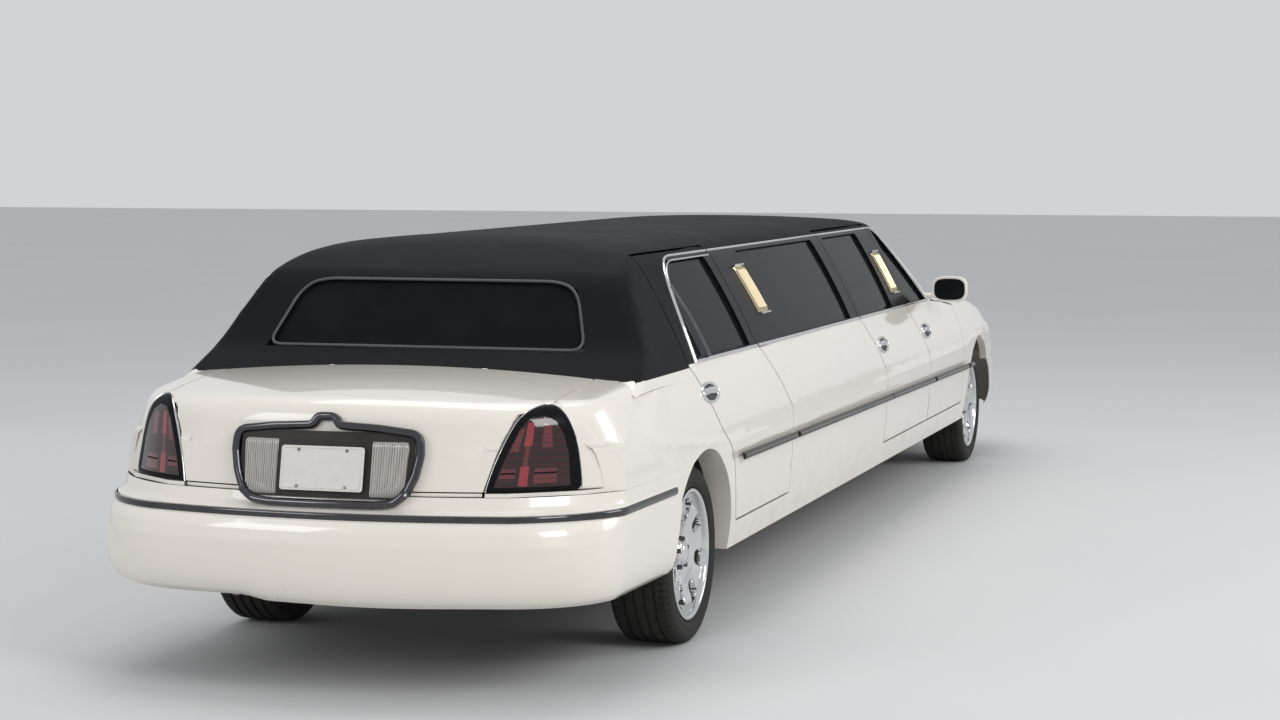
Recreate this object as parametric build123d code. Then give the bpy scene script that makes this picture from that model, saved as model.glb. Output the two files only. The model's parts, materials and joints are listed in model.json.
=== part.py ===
from build123d import *
import os

os.makedirs("parts", exist_ok=True)

# A six-door-style stretch limousine on a separate frame. Millimetres, X forward, Y left, Z up.
# Stations along the car are measured from the rear axle, and the whole model is moved at the end
# so that its origin is on the floor under the middle of its length.

# Overall sizes
BASE_WHEELBASE = 2990
STRETCH = 3048
WHEELBASE = BASE_WHEELBASE + STRETCH
REAR_OVERHANG = 1434
FRONT_OVERHANG = 1045
HALF_WIDTH = 985
ROOF_Z = 1535
FRONT_AXLE = WHEELBASE
LENGTH = REAR_OVERHANG + WHEELBASE + FRONT_OVERHANG
MOVE_TO_MIDDLE = REAR_OVERHANG - LENGTH / 2

# The cabin above the belt: half widths of the side glass line and the roof
GLASS_BASE_HALF = 885
ROOF_EDGE_HALF = 690
ROOF_EDGE_Z = ROOF_Z - 83
ROOF_TURN_HALF = 612
ROOF_TURN_Z = ROOF_Z - 39

# Walls and gaps
DOOR_THICKNESS = 100
FRAME_THICKNESS = 45
PANEL_THICKNESS = 40
GLASS_THICKNESS = 5
GLASS_RECESS = 14
SEAM = 8
SEAT_GAP = 0.3
EDGE_DRAFT = 0.364

# Heights
BODY_BOTTOM = 300
FLOOR_TOP = 350
RAISED_FLOOR = 490.3
FLOOR_THICKNESS = 40
BELT_SPLIT = 1038
SILL_TOP = 402
FLOOR_HALF = HALF_WIDTH - DOOR_THICKNESS - 40
SIDE_Z = 670
BELT_Z = 1045

# Wheels
TYRE_RADIUS = 338
RIM_RADIUS = 250
TYRE_WIDTH = 245
TRACK_HALF = 807
TYRE_IN = TRACK_HALF - TYRE_WIDTH / 2
TYRE_OUT = TRACK_HALF + TYRE_WIDTH / 2
WHEEL_Z = TYRE_RADIUS
REAR_ARCH_RADIUS = 400
FRONT_ARCH_RADIUS = 415
ARCH_IN = TYRE_IN - 84.5
SPINDLE_RADIUS = 30
SPOKES = 7
STEER_AXIS_Y = TRACK_HALF - 55

# Stations along the cabin
FIREWALL_X = FRONT_AXLE - 800
BULKHEAD_X = -330
COWL_X = FRONT_AXLE - 1075
HEADER_X = FRONT_AXLE - 1720
DECK_FRONT_X = -575
REAR_DOOR_FRONT = 1340
MIDDLE_DOOR_REAR = FRONT_AXLE - 2721
MIDDLE_DOOR_FRONT = FRONT_AXLE - 1590
FRONT_DOOR_FRONT = FRONT_AXLE - 558
HINGE_SETBACK = 25
HINGE_DEPTH = 12
PIN_RADIUS = 4


def box(x0, x1, y0, y1, z0, z1):
    """A box between two corners."""
    middle = Pos((x0 + x1) / 2, (y0 + y1) / 2, (z0 + z1) / 2)
    return middle * Box(x1 - x0, y1 - y0, z1 - z0)


def side_prism(outline, y0, y1):
    """An outline of (x, z) points seen from the side, pulled across the car from y0 to y1."""
    face = Face(Wire.make_polygon([(x, y0, z) for x, z in outline], close=True))
    return extrude(face, amount=y1 - y0, dir=(0, 1, 0))


def tube_y(x, z, radius, y0, y1):
    """A cylinder across the car."""
    return Pos(x, (y0 + y1) / 2, z) * Rot(90, 0, 0) * Cylinder(radius, abs(y1 - y0))


def tube_z(x, y, radius, z0, z1):
    """An upright cylinder."""
    return Pos(x, y, (z0 + z1) / 2) * Cylinder(radius, z1 - z0)


LEAST_VOLUME = 20000


def as_one(pieces):
    """Solids of one node in one compound, without the crumbs that a cut leaves."""
    solids = []
    for piece in pieces:
        solids.extend(solid for solid in piece.solids() if solid.volume > LEAST_VOLUME)
    return Compound(solids)


# The lower body: station, widest half width, top edge height, crown of the top above its edges.
BODY_STATIONS = [
    (-1460, 930, 930, 50),
    (-900, 955, 1005, 55),
    (-400, 975, 1045, 40),
    (400, HALF_WIDTH, 1054, 20),
    (FRONT_AXLE - 1600, HALF_WIDTH, 1030, 20),
    (FRONT_AXLE - 500, HALF_WIDTH, 1012, 40),
    (FRONT_AXLE + 200, 975, 950, 75),
    (FRONT_AXLE + 700, 945, 885, 70),
    (FRONT_AXLE + 1100, 930, 840, 50),
]
BELT_INSET = 100
BOTTOM_INSET = 35


def body_section(x, half, top, crown, inset):
    """One cross-section: a flat bottom, two bowed sides with the widest line at SIDE_Z, a crowned top."""
    half = half - inset
    top = top - inset
    low = half - BOTTOM_INSET
    high = half - BELT_INSET
    points = {}
    for side in (-1, 1):
        points[side] = [
            (x, side * low, BODY_BOTTOM),
            (x, side * (half - BOTTOM_INSET * 0.25), (BODY_BOTTOM + SIDE_Z) / 2),
            (x, side * half, SIDE_Z),
            (x, side * (half - BELT_INSET * 0.25), (SIDE_Z + top) / 2),
            (x, side * high, top),
        ]
    right, left = points[-1], points[1]
    edges = [
        Edge.make_line(left[0], right[0]),
        Edge.make_three_point_arc(right[0], right[1], right[2]),
        Edge.make_three_point_arc(right[2], right[3], right[4]),
        Edge.make_three_point_arc(right[4], (x, 0, top + crown), left[4]),
        Edge.make_three_point_arc(left[4], left[3], left[2]),
        Edge.make_three_point_arc(left[2], left[1], left[0]),
    ]
    return Wire(edges)


def plan_outline(z, tail, nose):
    """The ends seen from above: centre, a point part-way out, and the corner, then the widest side."""
    wide = HALF_WIDTH + 40
    (tx0, tx1, ty1, tx2, ty2), (nx0, nx1, ny1, nx2, ny2) = tail, nose
    edges = [
        Edge.make_three_point_arc((tx1, -ty1, z), (tx0, 0, z), (tx1, ty1, z)),
        Edge.make_line((tx1, ty1, z), (tx2, ty2, z)),
        Edge.make_line((tx2, ty2, z), (tx2 + 260, wide, z)),
        Edge.make_line((tx2 + 260, wide, z), (nx2 - 260, wide, z)),
        Edge.make_line((nx2 - 260, wide, z), (nx2, ny2, z)),
        Edge.make_line((nx2, ny2, z), (nx1, ny1, z)),
        Edge.make_three_point_arc((nx1, ny1, z), (nx0, 0, z), (nx1, -ny1, z)),
        Edge.make_line((nx1, -ny1, z), (nx2, -ny2, z)),
        Edge.make_line((nx2, -ny2, z), (nx2 - 260, -wide, z)),
        Edge.make_line((nx2 - 260, -wide, z), (tx2 + 260, -wide, z)),
        Edge.make_line((tx2 + 260, -wide, z), (tx2, -ty2, z)),
        Edge.make_line((tx2, -ty2, z), (tx1, -ty1, z)),
    ]
    return Wire(edges)


# Ends of the body from above, low and high: centre x, part-way x and y, corner x and y
TAIL_LOW = (-1420, -1350, 620, -1190, 850)
TAIL_HIGH = (-1240, -1130, 640, -980, 830)
NOSE_LOW = (FRONT_AXLE + 1000, FRONT_AXLE + 900, 640, FRONT_AXLE + 760, 850)
NOSE_HIGH = (FRONT_AXLE + 880, FRONT_AXLE + 800, 640, FRONT_AXLE + 640, 840)
ENDS_LOW_Z = 250
ENDS_HIGH_Z = 1150


def shrink_end(row, inset, sign):
    cx, px, py, kx, ky = row
    return (cx + sign * inset, px + sign * inset, py - inset * 0.5, kx + sign * inset, ky - inset * 0.7)


def body_solid(inset):
    """The whole lower body as one solid, or the space inside it at a wall thickness."""
    wires = [body_section(*row, inset) for row in BODY_STATIONS]
    long_body = Solid.make_loft(wires, ruled=True)
    low = plan_outline(ENDS_LOW_Z, shrink_end(TAIL_LOW, inset, 1), shrink_end(NOSE_LOW, inset, -1))
    high = plan_outline(ENDS_HIGH_Z, shrink_end(TAIL_HIGH, inset, 1), shrink_end(NOSE_HIGH, inset, -1))
    ends = Solid.make_loft([low, high], ruled=True)
    return long_body & ends


def cabin_solid(inset):
    """The cabin above the belt as one solid, or its inside at a wall thickness."""
    x0, x1 = -760, FRONT_AXLE - 700
    base = GLASS_BASE_HALF + 20 - inset
    edge_half = ROOF_EDGE_HALF - inset
    turn_half = ROOF_TURN_HALF - inset * 0.7
    turn_z = ROOF_TURN_Z - inset
    edge_z = ROOF_EDGE_Z - inset * 0.4
    bow_half = (base + edge_half) / 2 + 12
    bow_z = (1000 + edge_z) / 2
    edges = [
        Edge.make_line((x0, base, 1000), (x0, -base, 1000)),
        Edge.make_three_point_arc((x0, -base, 1000), (x0, -bow_half, bow_z), (x0, -edge_half, edge_z)),
        Edge.make_line((x0, -edge_half, edge_z), (x0, -turn_half, turn_z)),
        Edge.make_three_point_arc((x0, -turn_half, turn_z), (x0, 0, ROOF_Z - inset), (x0, turn_half, turn_z)),
        Edge.make_line((x0, turn_half, turn_z), (x0, edge_half, edge_z)),
        Edge.make_three_point_arc((x0, edge_half, edge_z), (x0, bow_half, bow_z), (x0, base, 1000)),
    ]
    across = extrude(Face(Wire(edges)), amount=x1 - x0, dir=(1, 0, 0))
    wide = HALF_WIDTH + 60
    rear = inset * 1.25
    front = inset * 1.7
    profile = [
        Edge.make_line((-640 + rear, -wide, 1000), (-400 + rear, -wide, 1142 - inset * 0.2)),
        Edge.make_line(
            (-400 + rear, -wide, 1142 - inset * 0.2), (-215 + rear, -wide, ROOF_Z - 140 - inset * 0.4)
        ),
        Edge.make_three_point_arc(
            (-215 + rear, -wide, ROOF_Z - 140 - inset * 0.4),
            (60, -wide, ROOF_Z - 42 - inset),
            (700, -wide, ROOF_Z - inset),
        ),
        Edge.make_line((700, -wide, ROOF_Z - inset), (FRONT_AXLE - 2700, -wide, ROOF_Z - inset)),
        Edge.make_three_point_arc(
            (FRONT_AXLE - 2700, -wide, ROOF_Z - inset),
            (FRONT_AXLE - 2150, -wide, ROOF_Z - 14 - inset),
            (HEADER_X - front * 0.4, -wide, ROOF_Z - 52 - inset * 0.8),
        ),
        Edge.make_line(
            (HEADER_X - front * 0.4, -wide, ROOF_Z - 52 - inset * 0.8), (COWL_X - front + 32, -wide, 1000)
        ),
        Edge.make_line((COWL_X - front + 32, -wide, 1000), (-640 + rear, -wide, 1000)),
    ]
    along = extrude(Face(Wire(profile)), amount=2 * wide, dir=(0, 1, 0))
    return across & along


# Seams and outlines seen from the side, as (x, z) points
DOOR_BOTTOM = SILL_TOP + SEAM
DOOR_TOP = ROOF_Z - 73
LEAN = [(0, DOOR_BOTTOM), (0, 775), (-146, 937), (-235, BELT_Z), (-320, DOOR_TOP)]


SEAM_BEVEL = 20


def leaning_seam(x):
    """A door edge that is upright to the shoulder and leans back to the roof."""
    return [(x + dx, z) for dx, z in LEAN]


def bevelled_seam(x):
    """The same edge with its corner at the shoulder cut back, clear of the door in front of it."""
    bottom, (_, bend), (lean_x, lean_z), *rest = leaning_seam(x)
    share = SEAM_BEVEL / ((lean_x - x) ** 2 + (lean_z - bend) ** 2) ** 0.5
    cut = (x + (lean_x - x) * share, bend + (lean_z - bend) * share)
    return [bottom, (x, bend - SEAM_BEVEL), cut, (lean_x, lean_z), *rest]


REAR_DOOR_BACK = [
    (40, DOOR_TOP),
    (80, 1048),
    (131, 965),
    (178, 889),
    (247, 802),
    (330, 722),
    (395, 650),
    (437, 500),
    (470, DOOR_BOTTOM),
]
FRONT_DOOR_NOSE = [
    (FRONT_DOOR_FRONT, DOOR_BOTTOM),
    (FRONT_DOOR_FRONT, 965),
    (COWL_X - 60, 1030),
    (HEADER_X + 10, ROOF_Z - 105),
    (HEADER_X - 90, DOOR_TOP),
]


def skin_half(z):
    """Half width of the outer skin at a height, straight between the main lines of the side."""
    if z < BELT_Z:
        return HALF_WIDTH - BELT_INSET * max(0, (z - SIDE_Z) / (BELT_Z - SIDE_Z)) ** 2
    return GLASS_BASE_HALF - (GLASS_BASE_HALF - ROOF_EDGE_HALF) * (z - BELT_Z) / (ROOF_EDGE_Z - BELT_Z)


def rear_edge(points, gap=0):
    """A rear edge placed so that, with its draft, it meets the outer skin at these points."""
    return [(x + gap - EDGE_DRAFT * (OUTER_Y - skin_half(z)), z) for x, z in points]


INNER_Y = 560
OUTER_Y = HALF_WIDTH + 40
REAR_EDGE = rear_edge(REAR_DOOR_BACK)
MIDDLE_REAR_EDGE = rear_edge(leaning_seam(MIDDLE_DOOR_REAR)[::-1])
FRONT_REAR_EDGE = rear_edge(leaning_seam(MIDDLE_DOOR_FRONT)[::-1], SEAM)

# Each door: name, side, rear edge from the roof down, front edge from the bottom up, hinge station
DOORS = [
    ("right_rear_door", -1, REAR_EDGE, leaning_seam(REAR_DOOR_FRONT), REAR_DOOR_FRONT),
    ("right_middle_door", -1, MIDDLE_REAR_EDGE, bevelled_seam(MIDDLE_DOOR_FRONT), MIDDLE_DOOR_FRONT),
    ("right_front_door", -1, FRONT_REAR_EDGE, FRONT_DOOR_NOSE, FRONT_DOOR_FRONT),
    ("left_rear_door", 1, REAR_EDGE, leaning_seam(REAR_DOOR_FRONT), REAR_DOOR_FRONT),
    ("left_front_door", 1, FRONT_REAR_EDGE, FRONT_DOOR_NOSE, FRONT_DOOR_FRONT),
]

# Side windows: name of the pane, the sides that have it, its outline from the side
WINDOW_TOP = ROOF_Z - 103
REAR_WINDOW_PANE = [
    (180, 1066),
    (1010, 1060),
    (930, WINDOW_TOP),
    (390, WINDOW_TOP),
    (265, WINDOW_TOP - 87),
    (205, 1200),
]
STRETCH_PANE = [(1520, 1058), (FRONT_AXLE - 3123, 1050), (FRONT_AXLE - 3208, WINDOW_TOP), (1440, WINDOW_TOP)]
MIDDLE_PANE = [
    (FRONT_AXLE - 2878, 1049),
    (FRONT_AXLE - 2138, 1045),
    (FRONT_AXLE - 2218, WINDOW_TOP),
    (FRONT_AXLE - 2963, WINDOW_TOP),
]
FRONT_PANE = [
    (FRONT_AXLE - 1738, 1043),
    (COWL_X - 190, 1036),
    (HEADER_X - 20, WINDOW_TOP - 32),
    (HEADER_X - 75, WINDOW_TOP),
    (FRONT_AXLE - 1823, WINDOW_TOP),
]
DOOR_PANES = {
    "right_rear_door": REAR_WINDOW_PANE,
    "right_middle_door": MIDDLE_PANE,
    "right_front_door": FRONT_PANE,
    "left_rear_door": REAR_WINDOW_PANE,
    "left_front_door": FRONT_PANE,
}
FIXED_PANES = [(-1, STRETCH_PANE), (1, STRETCH_PANE), (1, MIDDLE_PANE)]


def grown(outline, amount):
    """An outline moved outward by a gap, with its corners kept sharp."""
    wire = Wire.make_polygon([(x, z, 0) for x, z in outline], close=True)
    moved = wire.offset_2d(amount, kind=Kind.INTERSECTION)
    return [(edge.position_at(0).X, edge.position_at(0).Y) for edge in moved.order_edges()]


def plug(outline, side):
    """A door-shaped cutter: straight along its front edge, closing inward along its rear edge."""
    ys = (side * OUTER_Y, side * INNER_Y)
    depth = OUTER_Y - INNER_Y
    face = Face(Wire.make_polygon([(x, ys[0], z) for x, z in outline], close=True))
    straight = extrude(face, amount=depth, dir=(0, -side, 0))
    slanted = extrude(face, amount=depth * (1 + EDGE_DRAFT**2) ** 0.5, dir=(EDGE_DRAFT, -side, 0))
    return straight & slanted


# Body shell
REAR_SEAT_X = 430
LID_HALF = 720
LID_BOTTOM = 718
LID_FLANGE_Z = 976
LAMP_BOTTOM = 713
REAR_FACE_X = -1100
BUMPER_TOP = 700
BUMPER_BOTTOM = 330
HOOD_HALF = 740
HOOD_REAR_X = COWL_X + 62
HOOD_FRONT_Z = 830
NOSE_PANEL_X = FRONT_AXLE + 700
FRONT_BUMPER_TOP = 610
TUNNEL_HALF = 125
TUNNEL_TOP = 425
TUNNEL_WALL = 15
FAR = 2000
SHELF_Z = 980
HINGE_POST_END = FRONT_DOOR_FRONT + 60


def shell_solid():
    """The whole skin of the car, hollow, with its cabin, trunk and engine bay open inside."""
    outer = body_solid(0) + cabin_solid(0)
    inner_half = GLASS_BASE_HALF - DOOR_THICKNESS
    thick = body_solid(DOOR_THICKNESS)
    thin = body_solid(PANEL_THICKNESS)
    belt_gap = box(BULKHEAD_X + 160, COWL_X - 60, -inner_half, inner_half, 850, 1120)
    cabin_high = cabin_solid(FRAME_THICKNESS) & box(-FAR, COWL_X - 50, -FAR, FAR, BELT_SPLIT - 15, FAR)
    trunk = thin & box(-FAR, BULKHEAD_X, -FAR, FAR, RAISED_FLOOR + FLOOR_THICKNESS, FAR)
    trunk -= box(DECK_FRONT_X, BULKHEAD_X, -FAR, FAR, SHELF_Z, FAR)
    shell = outer - belt_gap - cabin_high - trunk
    cabin_x = (BULKHEAD_X + FLOOR_THICKNESS, FIREWALL_X - FLOOR_THICKNESS)
    shell -= thick & box(*cabin_x, -FAR, FAR, FLOOR_TOP, FAR)
    side_wall = HALF_WIDTH - DOOR_THICKNESS
    shell -= thin & box(FIREWALL_X, HINGE_POST_END, -side_wall, side_wall, FLOOR_TOP, FAR)
    shell -= box(FIREWALL_X, HINGE_POST_END, -700, 700, 0, FLOOR_TOP + 1)
    shell -= thin & box(HINGE_POST_END, FAR * 5, -FAR, FAR, -FAR, FAR)
    shell -= box(-FAR, REAR_SEAT_X, -700, 700, 0, RAISED_FLOOR)
    shell -= box(REAR_SEAT_X, HINGE_POST_END, -TUNNEL_HALF, TUNNEL_HALF, 0, TUNNEL_TOP)
    for axle_x, radius in ((0, REAR_ARCH_RADIUS), (FRONT_AXLE, FRONT_ARCH_RADIUS)):
        shell -= tube_y(axle_x, WHEEL_Z, radius, -FAR, -ARCH_IN)
        shell -= tube_y(axle_x, WHEEL_Z, radius, ARCH_IN, FAR)
    return shell


def window_cut(outline, side):
    """The opening of one side window, cut straight through the side of the cabin."""
    return side_prism(outline, *sorted((side * 500, side * OUTER_Y)))


def glass_layer():
    """The thin layer in which all the panes of the cabin lie."""
    return cabin_solid(GLASS_RECESS) - cabin_solid(GLASS_RECESS + GLASS_THICKNESS)


def pane(layer, outline, side):
    return layer & window_cut(grown(outline, -SEAT_GAP), side)


# Hinges: two per door, in pockets at these heights
HINGE_HEIGHTS = (540, 690)
HINGE_POST_TOP = 715
HINGE_ARM = 24
ARM_WIDTH = 26
HUB_RADIUS = 6
PIN_END = 16
PILLAR_DEPTH = 50
POST_SETBACK = 24


def hinge_place(front_x, side):
    return front_x - HINGE_SETBACK, side * (HALF_WIDTH - HINGE_DEPTH)


def hinge_pocket(front_x, side, z):
    """The room that a hinge arm needs inside the front edge of a door, with the bore of its pin."""
    x, y = hinge_place(front_x, side)
    inner = side * (HALF_WIDTH - DOOR_THICKNESS - 20)
    half = HINGE_ARM / 2 + SEAM
    room = box(x - ARM_WIDTH / 2 - SEAM, x + 60, *sorted((y, inner)), z - half, z + half)
    room += tube_z(x, y, HUB_RADIUS + 1.5, z - half, z + half)
    return room + tube_z(x, y, PIN_RADIUS + SEAT_GAP, z - half - PIN_END, z + half + PIN_END)


def hinge_body_side(front_x, side, z):
    """The arm and the pin of one hinge, carried by the pillar inside the door."""
    x, y = hinge_place(front_x, side)
    inner = side * (HALF_WIDTH - DOOR_THICKNESS - POST_SETBACK - 2)
    half = HINGE_ARM / 2
    arm = box(x - 2 * HUB_RADIUS, x, *sorted((y, inner)), z - half, z + half)
    arm += tube_z(x, y, HUB_RADIUS, z - half, z + half)
    return arm + tube_z(x, y, PIN_RADIUS, z - half - SEAM - PIN_END + 1, z + half + SEAM + PIN_END - 1)


def hinge_pillar(front_x, side):
    """A post inside the door that stands on the sill and carries both hinges."""
    x, _ = hinge_place(front_x, side)
    outer = HALF_WIDTH - DOOR_THICKNESS - POST_SETBACK
    ys = sorted((side * outer, side * (outer - PILLAR_DEPTH)))
    post = box(x - 60, x + 60, *ys, FLOOR_TOP, HINGE_POST_TOP)
    for z in HINGE_HEIGHTS:
        post += hinge_body_side(front_x, side, z)
    return post


def door_plug(outline, side):
    """The cutter of a whole door, which stays in the side wall below the belt."""
    wall = HALF_WIDTH - BELT_INSET - DOOR_THICKNESS - 5
    return plug(outline, side) - box(-FAR, FAR * 5, -wall, wall, 0, BELT_SPLIT)


def door_body(shell, name, side, back, front, front_x):
    """One door, as thick as the whole side wall, with its window and hinge pockets cut."""
    door = shell & door_plug(back + front, side)
    door -= window_cut(DOOR_PANES[name], side)
    for z in HINGE_HEIGHTS:
        door -= hinge_pocket(front_x, side, z)
    return door


# Bumpers: half outlines seen from above, from the middle round the corner to the arch, at three lines
BUMPER_WALL = 40
BUMPER_LEDGE = 36
STRIP_LOW = 618
STRIP_HIGH = 646
STRIP_GROOVE = 4
REAR_BUMPER_TOP = [(-1336, 0), (-1248, 632), (-1093, 842), (-937, 953), (-415, 976)]
REAR_BUMPER_WIDE = [(-REAR_OVERHANG, 0), (-1345, 690), (-1195, 893), (-1000, 969), (-415, 984)]
REAR_BUMPER_LOW = [(-1384, 0), (-1300, 640), (-1150, 850), (-985, 925), (-415, 945)]
FRONT_BUMPER_EDGE = [
    (FRONT_AXLE + 958, 0),
    (FRONT_AXLE + 866, 640),
    (FRONT_AXLE + 716, 850),
    (FRONT_AXLE + 560, 948),
    (FRONT_AXLE + 430, 962),
]
FRONT_BUMPER_WIDE = [
    (FRONT_AXLE + FRONT_OVERHANG, 0),
    (FRONT_AXLE + 950, 660),
    (FRONT_AXLE + 830, 860),
    (FRONT_AXLE + 620, 955),
    (FRONT_AXLE + 430, 975),
]
FRONT_BUMPER_LOW = [
    (FRONT_AXLE + 990, 0),
    (FRONT_AXLE + 900, 620),
    (FRONT_AXLE + 800, 815),
    (FRONT_AXLE + 610, 905),
    (FRONT_AXLE + 430, 935),
]
# Levels of a bumper: height, share of the widest outline, share of the tucked-in one, depth of a groove
REAR_LEVELS = [
    (BUMPER_BOTTOM, 1, 1, 0),
    (350, 1, 0.5, 0),
    (395, 1, 0.15, 0),
    (470, 1, 0, 0),
    (540, 0.97, 0, 0),
    (590, 0.85, 0, 0),
    (STRIP_LOW, 0.7, 0, 0),
    (STRIP_LOW + 2, 0.7, 0, STRIP_GROOVE),
    (STRIP_HIGH - 2, 0.5, 0, STRIP_GROOVE),
    (STRIP_HIGH, 0.5, 0, 0),
    (STRIP_HIGH + 10, 0.16, 0, 0),
    (BUMPER_TOP, 0, 0, 0),
]
FRONT_LEVELS = [
    (BODY_BOTTOM, 1, 1, 0),
    (330, 1, 0.5, 0),
    (380, 1, 0.1, 0),
    (440, 1, 0, 0),
    (520, 1, 0, 0),
    (560, 0.8, 0, 0),
    (590, 0.4, 0, 0),
    (FRONT_BUMPER_TOP, 0, 0, 0),
]
# How far each point of an outline moves for one millimetre of wall, towards the middle and sideways
INWARD = [(1, 0), (0.95, -0.3), (0.7, -0.7), (0.35, -0.93), (0, -1)]
INTAKE_HALF = 330
INTAKE_Z = (350, 420)


def bumper_wire(z, outline, inset):
    """One level of a bumper: an outline and its mirror image, closed across the arch ends."""
    ahead = 1 if outline[0][0] < 0 else -1
    half = [(x + ahead * inset * ix, y + inset * iy) for (x, y), (ix, iy) in zip(outline, INWARD)]
    (mx, _), (qx, qy), (cx, cy), (sx, sy), (ex, ey) = half
    edges = [
        Edge.make_line((ex, -ey, z), (sx, -sy, z)),
        Edge.make_three_point_arc((sx, -sy, z), (cx, -cy, z), (qx, -qy, z)),
        Edge.make_three_point_arc((qx, -qy, z), (mx, 0, z), (qx, qy, z)),
        Edge.make_three_point_arc((qx, qy, z), (cx, cy, z), (sx, sy, z)),
        Edge.make_line((sx, sy, z), (ex, ey, z)),
        Edge.make_line((ex, ey, z), (ex, -ey, z)),
    ]
    return Wire(edges)


def bumper(top, wide, low, levels):
    """A wrap-round bumper, open towards the car, with a ledge that runs in under the body."""
    wires = []
    inside = []
    ledge_z = levels[-1][0] - BUMPER_LEDGE
    for z, share, tuck, groove in levels:
        outline = []
        for (tx, ty), (wx, wy), (lx, ly) in zip(top, wide, low):
            x = tx + (wx - tx) * share + (lx - wx) * tuck
            y = ty + (wy - ty) * share + (ly - wy) * tuck
            outline.append((x, y))
        wires.append(bumper_wire(z, outline, groove))
        if not groove and z < ledge_z:
            inside.append(bumper_wire(z, outline, BUMPER_WALL))
    outer = Solid.make_loft(wires, ruled=True)
    hollow = Solid.make_loft(inside, ruled=True)
    above = extrude(Face(bumper_wire(inside_top(levels), top, BUMPER_WALL)), amount=FAR, dir=(0, 0, 1))
    end_x = top[-1][0]
    ahead = 1 if end_x < 0 else -1
    mouth = box(*sorted((end_x - ahead * 60, end_x + ahead * FAR)), -FAR, FAR, 0, FAR)
    side = box(-FAR * 5, FAR * 5, -top[-1][1] + BUMPER_WALL, top[-1][1] - BUMPER_WALL, 0, FAR)
    return outer - hollow - above - (mouth & side)


def inside_top(levels):
    """The highest level that lies under the ledge."""
    return max(z for z, _, _, groove in levels if not groove and z < levels[-1][0] - BUMPER_LEDGE)


def end_prism(outline, side, x0, x1):
    """An outline of (y, z) points seen from the end, pulled along the car from x0 to x1."""
    face = Face(Wire.make_polygon([(x0, side * y, z) for y, z in outline], close=True))
    return extrude(face, amount=x1 - x0, dir=(1, 0, 0))


# Lamps and grille seen from the end of the car, as (y, z) points
LID_EDGE = [(550, LID_BOTTOM), (590, 860), (645, 985), (LID_HALF, 1012)]
LAMP_EDGE = [(558, LAMP_BOTTOM), (598, 860), (651, 980), (LID_HALF, 1003)]
TAIL_LAMP = LAMP_EDGE[::-1] + [(905, LAMP_BOTTOM), (870, 830), (800, 940)]
HEADLAMP = [(470, 650), (880, 650), (850, 745), (480, 752)]
GRILLE = [(-300, 645), (300, 645), (330, 800), (-330, 800)]
GRILLE_SLOTS = 15
GRILLE_PITCH = 36
GRILLE_SLOT = 22
GRILLE_SLOT_Z = (662, 784)


# Sections of a wheel as (radius, depth behind its face) points
RIM_SECTION = [
    (RIM_RADIUS - 0.5, 0),
    (RIM_RADIUS - 14, 0),
    (RIM_RADIUS - 19, 10),
    (RIM_RADIUS - 24, 26),
    (RIM_RADIUS - 24, TYRE_WIDTH - 46),
    (RIM_RADIUS - 14, TYRE_WIDTH - 26),
    (RIM_RADIUS - 0.5, TYRE_WIDTH - 26),
]
DISH_SECTION = [
    (0, 20),
    (34, 22),
    (44, 34),
    (62, 36),
    (RIM_RADIUS * 0.52, 24),
    (RIM_RADIUS * 0.76, 12),
    (RIM_RADIUS - 22, 18),
    (RIM_RADIUS - 22, 44),
    (RIM_RADIUS * 0.76, 40),
    (RIM_RADIUS * 0.52, 52),
    (62, 60),
    (62, 110),
    (0, 110),
]
SLOT_FILLET = 13


def ring_about(x, y, side, section):
    """A section turned about the axle; its depths run from y towards the middle of the car."""
    face = Face(Wire.make_polygon([(x + r, y - side * depth, WHEEL_Z) for r, depth in section], close=True))
    return revolve(face, Axis((x, 0, WHEEL_Z), (0, 1, 0)))


def wheel(x, side):
    """Rim with its lip, and a bowed dish of seven broad spokes between rounded slots."""
    face_y = side * (TYRE_OUT - 8)
    back_y = side * (TYRE_IN + 18)
    body = ring_about(x, face_y, side, RIM_SECTION) + ring_about(x, face_y, side, DISH_SECTION)
    inner, outer = RIM_RADIUS * 0.5, RIM_RADIUS * 0.85
    outline = Polygon((inner, -22), (outer, -42), (outer, 42), (inner, 22), align=None)
    outline = fillet(outline.vertices(), SLOT_FILLET)
    slot = Rot(90, 0, 0) * extrude(outline, amount=100, both=True)
    slots = []
    for turn in range(SPOKES):
        slots.append(Pos(x, face_y, WHEEL_Z) * Rot(0, (turn + 0.5) * 360 / SPOKES, 0) * slot)
    body -= slots
    return body - tube_y(x, WHEEL_Z, SPINDLE_RADIUS + SEAT_GAP, face_y - side * 40, back_y)


def tyre(x, side):
    """A closed ring of tyre on its rim, with rounded shoulders."""
    centre = side * TRACK_HALF
    half = TYRE_WIDTH / 2
    profile = [
        (RIM_RADIUS, -half + 20),
        (RIM_RADIUS + 30, -half),
        (TYRE_RADIUS - 28, -half),
        (TYRE_RADIUS - 6, -half + 16),
        (TYRE_RADIUS, -half + 40),
        (TYRE_RADIUS, half - 40),
        (TYRE_RADIUS - 6, half - 16),
        (TYRE_RADIUS - 28, half),
        (RIM_RADIUS + 30, half),
        (RIM_RADIUS, half - 20),
    ]
    face = Face(Wire.make_polygon([(x + r, centre + y, WHEEL_Z) for r, y in profile], close=True))
    return revolve(face, Axis((x, 0, WHEEL_Z), (0, 1, 0)))


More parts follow.
